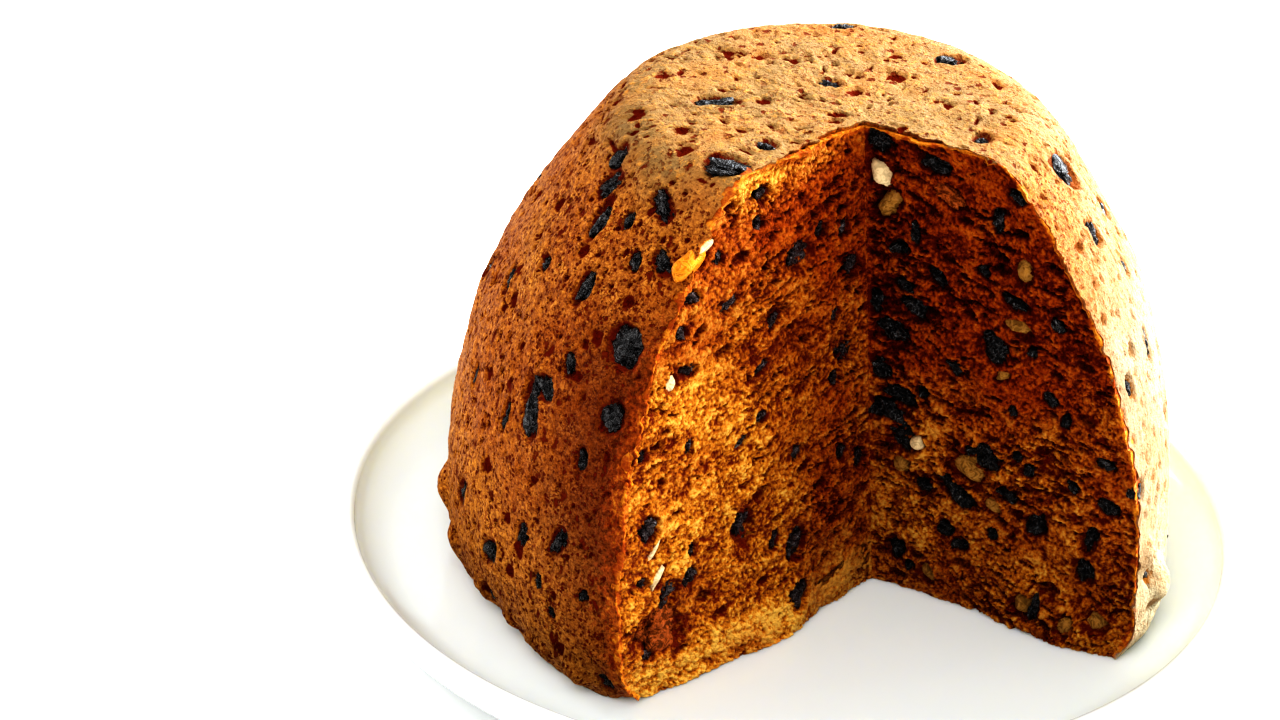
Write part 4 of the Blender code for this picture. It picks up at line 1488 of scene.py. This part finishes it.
    def turn_in(self, mesh, inward, back):
        """Move the selected rim towards the crumb and behind the face of the cut."""
        chosen = np.zeros(len(mesh.vertices), dtype=bool)
        mesh.vertices.foreach_get("select", chosen)
        places = read_places(mesh)
        rim = places[chosen]
        height = rim[:, 2] - BASE_Z
        flat = rim[:, :2] - AXIS - edge_at(height)
        from_left, from_right = (np.abs(flat @ face_normal(face)[:2])
                                 for face in (LEFT_FACE, RIGHT_FACE))
        low = (height < self.BASE_LOW) & (np.minimum(from_left, from_right) > self.BASE_CLEAR)
        aim = np.array((PUDDING_X, PUDDING_Y, BASE_Z + self.AIM_HEIGHT * PUDDING_HEIGHT))
        to_axis = aim - rim
        on_left = (from_left < from_right)[:, None]
        normal = np.where(on_left, face_normal(LEFT_FACE), face_normal(RIGHT_FACE))
        to_axis -= normal * (to_axis * normal).sum(axis=1)[:, None]
        to_axis /= np.linalg.norm(to_axis, axis=1)[:, None]
        cut_move = to_axis * inward - normal * back
        base_move = np.stack([-rim[:, 0], -rim[:, 1], np.zeros(len(rim))], axis=1)
        far = inward + self.BASE_SHARE * back
        base_move = base_move / np.linalg.norm(base_move, axis=1)[:, None] * far
        base_move[:, 2] = self.BASE_SHARE * back * (back > MM)
        places[chosen] = rim + np.where(low[:, None], base_move, cut_move)
        write_places(mesh, places)


class PUDDING_OT_crumb(bpy.types.Operator):
    """Fill the skin with crumb, torn where the knife went through it"""
    bl_idname = "pudding.crumb"
    bl_label = "Crumb"

    SKIN_GAP = 0.3 * MM
    HIDDEN_GAP = 3.0 * MM
    HIDDEN_STEP = 0.2 * MM
    HIDDEN_TURNS = (0.0, 0.007, 0.015, 0.04, 0.15, 0.28, 0.4, 0.5)
    FACE_LENGTH = 88 * MM
    TOP_DROP = 4.0 * MM
    TOP_FADE = (0.8, 1)
    LIFT_FADE = (0.85 * PUDDING_HEIGHT, PUDDING_HEIGHT)
    TOP_SHRINK = 0.93
    LIP = 1.1 * MM
    LIP_GRAIN = 1.9 * MM
    LIP_WIDTH = 1.3 * MM
    DIVIDER_COLUMNS = 4
    SMOOTH_ANGLE = 80
    # Over what width the relief fades out at the inner edge and at the rim, and how far below
    # the foot that rim is taken to lie
    EDGE_HOLD = 1.5 * MM
    RIM_HOLD = 1.4 * MM
    FOOT_HOLD = 1.7 * MM
    # Cut edge of the skin: where it fades into the crumb, and how ragged it is
    RIM_FADE = (0.3 * MM, 2.4 * MM)
    RIM_RAG = 0.5 * MM
    CLUMP_SIZE = 3.2 * MM
    GRAIN_SIZE = 1.05 * MM
    GAP_SIZE = 1.0 * MM
    GAP_DEPTH = 1.5 * MM
    STREAK_LEAN = 12.0
    FOOT_HEIGHT = 15.0 * MM
    HOLE_SIZE = 6.5 * MM
    HOLE_DEPTH = 2.2 * MM
    LID_FADE = (3 * MM, 13 * MM)
    # How far each is drawn out along the streaks, across them and out of the face
    CLUMP_SHAPE = np.array((1.5, 0.9, 1))
    GRAIN_SHAPE = np.array((1.15, 0.95, 1))
    GAP_SHAPE = np.array((3.0, 0.85, 1))
    HOLE_SHAPE = np.array((1.6, 0.8, 1))
    BEND = 0.7 * MM
    BEND_SIZE = 4 * MM
    STREAK_HEIGHT = 0.06
    FRUIT_HOLLOW = 1.4 * MM
    FRUIT_LIP = 0.2 * MM
    # What the hidden crumb keeps for the material
    HIDDEN = (("relief", 0.35), ("rim", 0.65), ("moist", 0.4))

    def execute(self, context):
        material = crumb_material()
        for face, name, seed in ((LEFT_FACE, "crumb_left", 51), (RIGHT_FACE, "crumb_right", 71)):
            crumb = join([self.cut_face(face, seed), self.hidden_wall(face), self.divider()], name)
            edit(crumb)
            bpy.ops.mesh.remove_doubles(threshold=DOUBLES)
            self.lower_top(crumb, face)
            bpy.ops.mesh.select_all(action="SELECT")
            bpy.ops.mesh.fill_holes(sides=0)
            face_outwards()
            leave_edit()
            bpy.ops.object.shade_smooth_by_angle(angle=math.radians(self.SMOOTH_ANGLE))
            finish_piece(crumb, material, "pudding")
        return {"FINISHED"}

    def lower_top(self, crumb, face):
        """Step the crumb's top in and down, away from the pits in the skin."""
        select_rim()
        leave_edit()
        rim = np.zeros(len(crumb.data.edges), dtype=bool)
        crumb.data.edges.foreach_get("select", rim)
        ends = np.zeros(2 * len(rim), dtype=np.int32)
        crumb.data.edges.foreach_get("vertices", ends)
        ends = ends.reshape(-1, 2)
        high = read_places(crumb.data)[ends, 2].min(axis=1) > PUDDING_HEIGHT / 2
        used = np.zeros(len(crumb.data.vertices), dtype=bool)
        used[ends[rim & high]] = True
        crumb.data.polygons.foreach_set("select", np.zeros(len(crumb.data.polygons), dtype=bool))
        crumb.data.edges.foreach_set("select", rim & high)
        crumb.data.vertices.foreach_set("select", used)
        bpy.ops.object.mode_set(mode="EDIT")
        top = np.array((PUDDING_HEIGHT - self.TOP_DROP,))
        # The middle of this half of the crumb
        turn = 0.75 if face is LEFT_FACE else 0.25
        middle = self.wall_places(turn, top, self.HIDDEN_GAP, 0.5)[0][0]
        shrink = (self.TOP_SHRINK, self.TOP_SHRINK, 1.0)
        for drop in (self.HIDDEN_STEP, self.TOP_DROP):
            bpy.ops.mesh.extrude_region_move(TRANSFORM_OT_translate={"value": (0, 0, -drop)})
            bpy.ops.transform.resize(value=shrink, center_override=tuple(middle))
        bpy.ops.mesh.select_mode(type="VERT")

    def lip(self, places):
        """How far the torn rim of a cut stands out: the same for the face and the wall."""
        return self.LIP * fade(rough_noise(places / self.LIP_GRAIN, 3, 37), -0.25, 0.6)

    def rows(self):
        """Faces from the base to the top."""
        return math.ceil(PUDDING_HEIGHT / sizes().crumb_step)

    def cut_face(self, face, seed):
        """One cut face, from the inner edge to the skin."""
        columns = math.ceil(self.FACE_LENGTH / sizes().crumb_step)
        grid, out, up = add_grid("cut_face", columns, self.rows())
        top = PUDDING_HEIGHT - self.SKIN_GAP
        height = up * top
        side = 1.0 if face is LEFT_FACE else 0.0
        length = self.wall_places(side, height, self.SKIN_GAP)[1]
        places, distance = self.wall_places(side, height, self.SKIN_GAP, out)
        normal = face_normal(face)
        from_skin = np.minimum(length - distance, top - height)
        border = np.minimum(from_skin, height + self.FOOT_HOLD)
        local = self.along_face(places, normal, face, seed)
        clump = rough_noise(local / (self.CLUMP_SHAPE * self.CLUMP_SIZE), 4, seed)
        relief, shade = self.relief(places, local, clump, face, seed)
        hold = fade(border, 0, self.RIM_HOLD) * fade(distance, 0, self.EDGE_HOLD)
        edge_share = 1 - fade(from_skin, 0, self.LIP_WIDTH)
        relief, shade = self.set_in_fruit(relief, shade, places, normal, face, seed)
        move = tear(places, distance) + (relief * hold + edge_share * self.lip(places))
        move *= fade(distance, 0, self.EDGE_HOLD)
        write_places(grid.data, shape_foot(places + normal * move[:, None]))
        # How dark and red: damp patches and painted shade
        store(grid.data, "moist", self.dampness_and_shade(places, face, seed))
        # The paleness, painted shade and highlight included, kept as relief
        store(grid.data, "relief", shade)
        store(grid.data, "rim", 1 - fade(border + self.RIM_RAG * clump, *self.RIM_FADE))
        if face is LEFT_FACE:
            edit(grid)
            bpy.ops.mesh.flip_normals()
            leave_edit()
        return grid

    def along_face(self, places, normal, face, seed):
        """Points along the streaks of a face, across them and out of it, a little bent."""
        angle = float(face_angle(face, self.STREAK_HEIGHT))
        direction = np.array((math.cos(angle), math.sin(angle), 0))
        lean = math.radians(self.STREAK_LEAN)
        run = direction * math.cos(lean) + np.array((0, 0, -math.sin(lean)))
        rise = np.array((0, 0, 1)) * math.cos(lean) + direction * math.sin(lean)
        local = np.stack([places @ run, places @ rise, places @ normal], axis=1)
        bend = [soft_noise(places / self.BEND_SIZE, seed + 60 + axis) for axis in range(3)]
        return local + self.BEND * np.stack(bend, axis=1)

    def relief(self, places, local, clump, face, seed):
        """Clumps, grains, streaks and holes along the face's normal, and how pale each point is: partly
        the crumb's own tone, partly painted shade in gaps, holes and creases and painted highlight on
        raised clumps.
        """
        near, second, own = cell_noise(local / (self.GRAIN_SHAPE * self.GRAIN_SIZE), seed + 5)
        grain = 1 - np.clip(near / 0.75, 0, 1) ** 2 + 0.5 * (own - 0.5)
        crease = 1 - fade(second - near, 0, 0.22)
        height = places[:, 2] - BASE_Z
        foot = 1 - fade(height, 0.4 * self.FOOT_HEIGHT, self.FOOT_HEIGHT)
        lid = 1 - fade(PUDDING_HEIGHT + BASE_Z - places[:, 2], *self.LID_FADE)
        gap, hole = self.openings(places, local, foot, lid, face, seed)
        soft = fade(soft_noise(places / (8 * MM), seed + 20), -0.5, 0.6)
        relief = sizes().crumb_depth * (0.75 * clump + 0.38 * grain - 0.30 * crease * soft - 0.3)
        relief -= self.GAP_DEPTH * gap + self.HOLE_DEPTH * hole
        # Paleness: the crumb's own tone in patches, painted highlight on raised clumps and grains,
        # painted shade in creases, gaps and holes
        shade = 0.46 + 0.30 * clump + 0.34 * (grain - 0.45) - 0.14 * crease
        shade += 0.16 * soft_noise(places / (7 * MM), seed + 21) - 0.50 * gap - 0.7 * hole
        shade += 0.14 * soft_noise(places / (22 * MM), seed + 22)
        # The left face is paler at its foot, as painted light from the plate, and near its top; the
        # right face is darker high up
        if face is LEFT_FACE:
            shade += 0.36 * foot + 0.12 * lid
        else:
            shade -= 0.12 * fade(height / PUDDING_HEIGHT, 0.5, 0.8)
        return relief, shade

    def openings(self, places, local, foot, lid, face, seed):
        """Gaps drawn out along the streaks, and holes. The left cut has fewer at its foot."""
        drawn = local / (self.GAP_SHAPE * self.GAP_SIZE)
        torn = rough_noise(drawn, 2, seed + 9) + 0.35 * soft_noise(places / (11 * MM), seed + 10)
        near, _, own = cell_noise(local / (self.HOLE_SHAPE * self.HOLE_SIZE), seed + 13)
        width = 0.10 + 0.18 * own
        hole = (1 - fade(near, width * 0.6, width * 1.2)) * (own > 0.5)
        if face is LEFT_FACE:
            torn -= 0.16 + 0.25 * foot + 0.1 * lid
            hole *= 1 - 0.8 * foot
        out, share = self.from_inner_edge(places)
        torn += 0.22 * (1 - fade(out, 6 * MM, 26 * MM)) * fade(share, 0.15, 0.35)
        return fade(torn, 0.24, 0.44), hole

    def set_in_fruit(self, relief, shade, places, normal, face, seed):
        """The relief and shade with a hollow for each piece in the cut, and painted shade round it."""
        pieces = cut_pieces(face, LEFT_PIECES if face is LEFT_FACE else RIGHT_PIECES)
        normals = np.broadcast_to(normal, places.shape)
        hollow, halo = hollow_out(places, normals, pieces, self.FRUIT_HOLLOW, self.FRUIT_LIP, seed)
        return relief + hollow, np.clip(shade - 0.35 * halo, 0, 1)

    def from_inner_edge(self, places):
        """Distance of points from the inner edge, and their share of the height."""
        flat = places[:, :2] - AXIS - edge_at(places[:, 2] - BASE_Z)
        return np.linalg.norm(flat, axis=1), (places[:, 2] - BASE_Z) / PUDDING_HEIGHT

    def dampness_and_shade(self, places, face, seed):
        """How dark and red the crumb is: partly damper crumb in patches, partly painted shade,
        strongest on the right face and near the inner edge.
        """
        out, share = self.from_inner_edge(places)
        if face is LEFT_FACE:
            damp_shade = 0.12 + 0.65 * (1 - fade(out, 8 * MM, 50 * MM)) * fade(share, -0.1, 0.25)
            damp_shade += 0.32 * fade(share, 0.50, 0.75) - 0.65 * fade(share, 0.90, 0.97)
        else:
            damp_shade = 0.38 + 0.62 * fade(share, 0.20, 0.65)
        damp_shade += 0.35 * soft_noise(places / (11 * MM), seed + 30)
        damp_shade += 0.20 * fade(share, 0.55, 0.95)
        return np.clip(damp_shade, 0, 1)

    def hidden_wall(self, face):
        """The crumb's own outer wall, coarse because the skin covers it."""
        columns = len(self.HIDDEN_TURNS) - 1
        grid, share, up = add_grid("crumb_wall", columns, self.rows())
        top = PUDDING_HEIGHT - self.SKIN_GAP
        height = up * top
        side = 1 if face is LEFT_FACE else 0
        away = np.interp(1 - share, np.linspace(0, 1, columns + 1), self.HIDDEN_TURNS)
        turn = side + (0.5 - side) * 2 * away
        close, deep = self.HIDDEN_TURNS[1], self.HIDDEN_TURNS[2]
        deeper = fade(away, close, deep)
        gap = self.SKIN_GAP + self.HIDDEN_STEP * fade(away, 0, close)
        gap += (self.HIDDEN_GAP - self.SKIN_GAP - self.HIDDEN_STEP) * deeper
        places, distance = self.wall_places(turn, height, gap)
        places[:, 2] -= self.TOP_DROP * deeper * fade(up, *self.TOP_FADE)
        ends = share > 0.999
        move = tear(places[ends], distance[ends]) + self.lip(places[ends])
        move *= fade(distance[ends], 0, self.EDGE_HOLD)
        places[ends] += face_normal(face) * move[:, None]
        write_places(grid.data, shape_foot(places))
        self.store_hidden(grid.data)
        return grid

    def divider(self):
        """The hidden face where the two halves of the crumb meet."""
        grid, share, up = add_grid("crumb_divider", self.DIVIDER_COLUMNS, self.rows())
        height = up * (PUDDING_HEIGHT - self.SKIN_GAP)
        places = self.wall_places(0.5, height, self.HIDDEN_GAP, share)[0]
        places[:, 2] -= self.TOP_DROP * fade(share, 0, 0.25) * fade(up, *self.TOP_FADE)
        write_places(grid.data, places)
        self.store_hidden(grid.data)
        return grid

    def wall_places(self, turn, height, gap, share=1.0):
        """Points at a share of the way from the inner edge to the hidden wall."""
        edge = edge_at(height)
        angle = angle_at(turn, height)
        along = np.interp(height, HEIGHT_ALONG, ALONG)
        radius = np.interp(along, ALONG, RADIUS_ALONG)
        out = np.stack([np.cos(angle), np.sin(angle)], axis=1)
        surface = edge + out * reach(angle, edge, radius)[:, None] + AXIS
        swell = unevenness(np.column_stack([surface, height + BASE_Z]))
        distance = reach(angle, edge, radius + swell - gap) * share
        flat = edge + out * distance[:, None] + AXIS
        lift = unevenness(np.column_stack([flat, height + BASE_Z]))
        lift *= fade(height, *self.LIFT_FADE)
        return np.column_stack([flat, height + BASE_Z + lift]), distance

    def store_hidden(self, mesh):
        for name, value in self.HIDDEN:
            store(mesh, name, np.full(len(mesh.vertices), value))


class PUDDING_OT_fruit(bpy.types.Operator):
    """Model a few wrinkled raisins, nuts and pieces of peel, and set a copy in each hollow"""
    bl_idname = "pudding.fruit"
    bl_label = "Fruit, nuts and peel"

    # Shapes: how many, the first one's seed, how lumpy, how wrinkled, and subdivisions
    RAISINS = (7, 0, 0.36, 0.30, 4)
    CHUNKS = (4, 20, 0.12, 0.02, 3)
    # Flat sides: how many, the turn from one to the next and its spread in radians, how high
    # and low they reach, how far out they lie, and how blunt the edges between them are
    SIDES = 11
    SIDE_TURN = 2.4
    SIDE_SPREAD = 0.5
    SIDE_RISE = 0.9
    SIDE_PLACES = (0.72, 1.0)
    BLUNTNESS = 9
    # Noise on a piece: shift from one to the next, and the scales of folds along it
    NOISE_SHIFT = np.array((3.1, 5.7, 1.9))
    LUMP_SCALE = 1.6
    RIDGE_SCALE = np.array((3.2, 1.6, 3.2))
    FINE_SCALE = np.array((6.5, 3.6, 6.5))
    RIDGE_WIDTH = 0.45
    FINE_WIDTH = 0.5
    FINE_SHARE = 0.5
    LARGEST = 1.25
    CUT_THICKNESS = 4.6 * MM
    SKIN_THICKNESS = 3.6 * MM
    SKIN_PROUD = 0.1 * MM
    FLATNESS = 0.8
    OVERFILL = 1.06

    def execute(self, context):
        tint = colours()
        raisins, chunks = self.shapes(*self.RAISINS), self.shapes(*self.CHUNKS)
        # Name, colour, shade of the depths, roughness, depth of the bump, gloss, and grey patches of
        # film and painted sheen
        dark, outer, red, almond, nut, date, peel = (fruit_material(*kind) for kind in (
            ("raisin", tint.raisin, 0.3, 0.05, 1.3 * MM, WHITE, 0.1),
            ("skin_raisin", tint.raisin, 0.3, 0.0, 1.0 * MM, WHITE, 0.18),
            ("sultana", tint.sultana, 0.4, 0.08, 1.2 * MM, WHITE, 0.2),
            ("almond", tint.nut, 0.7, 0.45, 0.15 * MM, SKIN_GLOSS, 0.0),
            ("nut", tint.brown_nut, 0.5, 0.45, 0.3 * MM, SKIN_GLOSS, 0.0),
            ("date", tint.date, 0.3, 0.40, 0.6 * MM, SKIN_GLOSS, 0.0),
            ("peel", tint.peel, 0.6, 0.15, 0.2 * MM, SKIN_GLOSS, 0.0)))
        # Places in the left and right cut, name, shapes, how proud in millimetres, and material
        rows = (((), RIGHT_CUT_FRUIT, "raisins_in_cut", raisins, 0.3, dark),
                (LEFT_CUT_FRUIT + LEFT_RED_FRUIT, (), "sultanas", raisins, -0.1, red),
                (LEFT_ALMONDS, RIGHT_ALMONDS, "almonds", chunks, 0.3, almond),
                ((), RIGHT_NUTS, "nuts", chunks, -0.5, nut),
                (LEFT_DATES, RIGHT_DATES, "dates", raisins, 0.5, date),
                (LEFT_PEEL, (), "peel", chunks, 0.5, peel))
        for left, right, name, shapes, proud, material in rows:
            pieces = cut_pieces(LEFT_FACE, left) + cut_pieces(RIGHT_FACE, right)
            self.lay(name, shapes, pieces, self.CUT_THICKNESS, proud * MM, material)
        self.lay("raisins_in_skin", raisins, skin_pieces(), self.SKIN_THICKNESS, self.SKIN_PROUD, outer)
        for shape in raisins + chunks:
            bpy.data.objects.remove(shape, do_unlink=True)
        return {"FINISHED"}

    def shapes(self, count, seed, lumps, wrinkles, subdivisions):
        """A few models of one kind, each from its own seed."""
        return [self.model(seed + number, lumps, wrinkles, subdivisions) for number in range(count)]

    def model(self, seed, lumps, wrinkles, subdivisions):
        """One piece, about one unit in radius: a blunt many-sided lump with folds along it."""
        deselect()
        bpy.ops.mesh.primitive_ico_sphere_add(subdivisions=subdivisions, radius=1.0,
                                              location=(0, 0, 0))
        piece = bpy.context.active_object
        places = read_places(piece.data)
        rng = random.Random(seed)
        sides = []
        for number in range(self.SIDES):
            angle = number * self.SIDE_TURN + rng.uniform(-self.SIDE_SPREAD, self.SIDE_SPREAD)
            rise = self.SIDE_RISE - 2 * self.SIDE_RISE * (number + 0.5) / self.SIDES
            flat = math.sqrt(1 - rise ** 2)
            side = np.array((flat * math.cos(angle), flat * math.sin(angle), rise))
            sides.append((side, rng.uniform(*self.SIDE_PLACES)))
        towards = np.stack([np.maximum(places @ side, 0.05) / far for side, far in sides])
        swell = (towards ** self.BLUNTNESS).sum(axis=0) ** (-1 / self.BLUNTNESS)
        swell = np.minimum(swell, self.LARGEST)
        shift = self.NOISE_SHIFT * (seed + 1)
        swell *= 1 + lumps * soft_noise(places * self.LUMP_SCALE + shift, seed)
        ridge = np.abs(soft_noise(places * self.RIDGE_SCALE + shift, seed + 7))
        fine = np.abs(soft_noise(places * self.FINE_SCALE + shift, seed + 9))
        swell -= (wrinkles * (1 - fade(ridge, 0, self.RIDGE_WIDTH))
                  + self.FINE_SHARE * wrinkles * (1 - fade(fine, 0, self.FINE_WIDTH)))
        write_places(piece.data, places * swell[:, None])
        return piece

    def lay(self, name, shapes, pieces, thickest, proud, material):
        """Set a copy of one of the shapes in each seat, every other one turned round."""
        copies = []
        for number, ((place, across, along, normal), length, width) in enumerate(pieces):
            shape = shapes[number % len(shapes)]
            copy = bpy.data.objects.new(name, shape.data.copy())
            bpy.context.scene.collection.objects.link(copy)
            thick = min(thickest, width * self.FLATNESS)
            place = Vector(shape_foot(np.array([place]))[0])
            centre = place + normal * (proud - thick / 2)
            size = Matrix.Diagonal((width / 2 * self.OVERFILL, length / 2 * self.OVERFILL, thick / 2))
            turned = Matrix((across, along, normal)).transposed()
            flip = Matrix.Rotation(math.radians(180 * (number % 2)), 3, "Z")
            matrix = Matrix.Translation(centre) @ (turned @ size @ flip).to_4x4()
            copy.data.transform(matrix)
            copies.append(copy)
        joined = join(copies, name)
        choose(joined)
        bpy.ops.object.shade_smooth()
        finish_piece(joined, material, "pudding")


class PUDDING_PT_panel(bpy.types.Panel):
    """Buttons for the pudding's pieces, with their colours and sizes"""
    bl_label = "Christmas Pudding"
    bl_idname = "PUDDING_PT_panel"
    bl_space_type = "VIEW_3D"
    bl_region_type = "UI"
    bl_category = "Pudding"

    def draw(self, context):
        for operator in OPERATORS:
            self.layout.operator(operator.bl_idname)
        scene = context.scene
        for group in (scene.pudding_colours, scene.pudding_sizes, scene.pudding_light):
            box = self.layout.box()
            for name in group.__annotations__:
                box.prop(group, name)


OPERATORS = (PUDDING_OT_stage, PUDDING_OT_plate, PUDDING_OT_skin, PUDDING_OT_crumb,
             PUDDING_OT_fruit)
CLASSES = (PuddingColours, PuddingSizes, PuddingLight) + OPERATORS + (PUDDING_PT_panel,)


def register():
    for cls in CLASSES:
        bpy.utils.register_class(cls)
    bpy.types.Scene.pudding_colours = bpy.props.PointerProperty(type=PuddingColours)
    bpy.types.Scene.pudding_sizes = bpy.props.PointerProperty(type=PuddingSizes)
    bpy.types.Scene.pudding_light = bpy.props.PointerProperty(type=PuddingLight)


def unregister():
    del bpy.types.Scene.pudding_light
    del bpy.types.Scene.pudding_sizes
    del bpy.types.Scene.pudding_colours
    for cls in reversed(CLASSES):
        bpy.utils.unregister_class(cls)


def main():
    register()
    bpy.ops.pudding.stage()
    bpy.ops.pudding.plate()
    bpy.ops.pudding.skin()
    bpy.ops.pudding.crumb()
    bpy.ops.pudding.fruit()


if __name__ == "__main__":
    main()
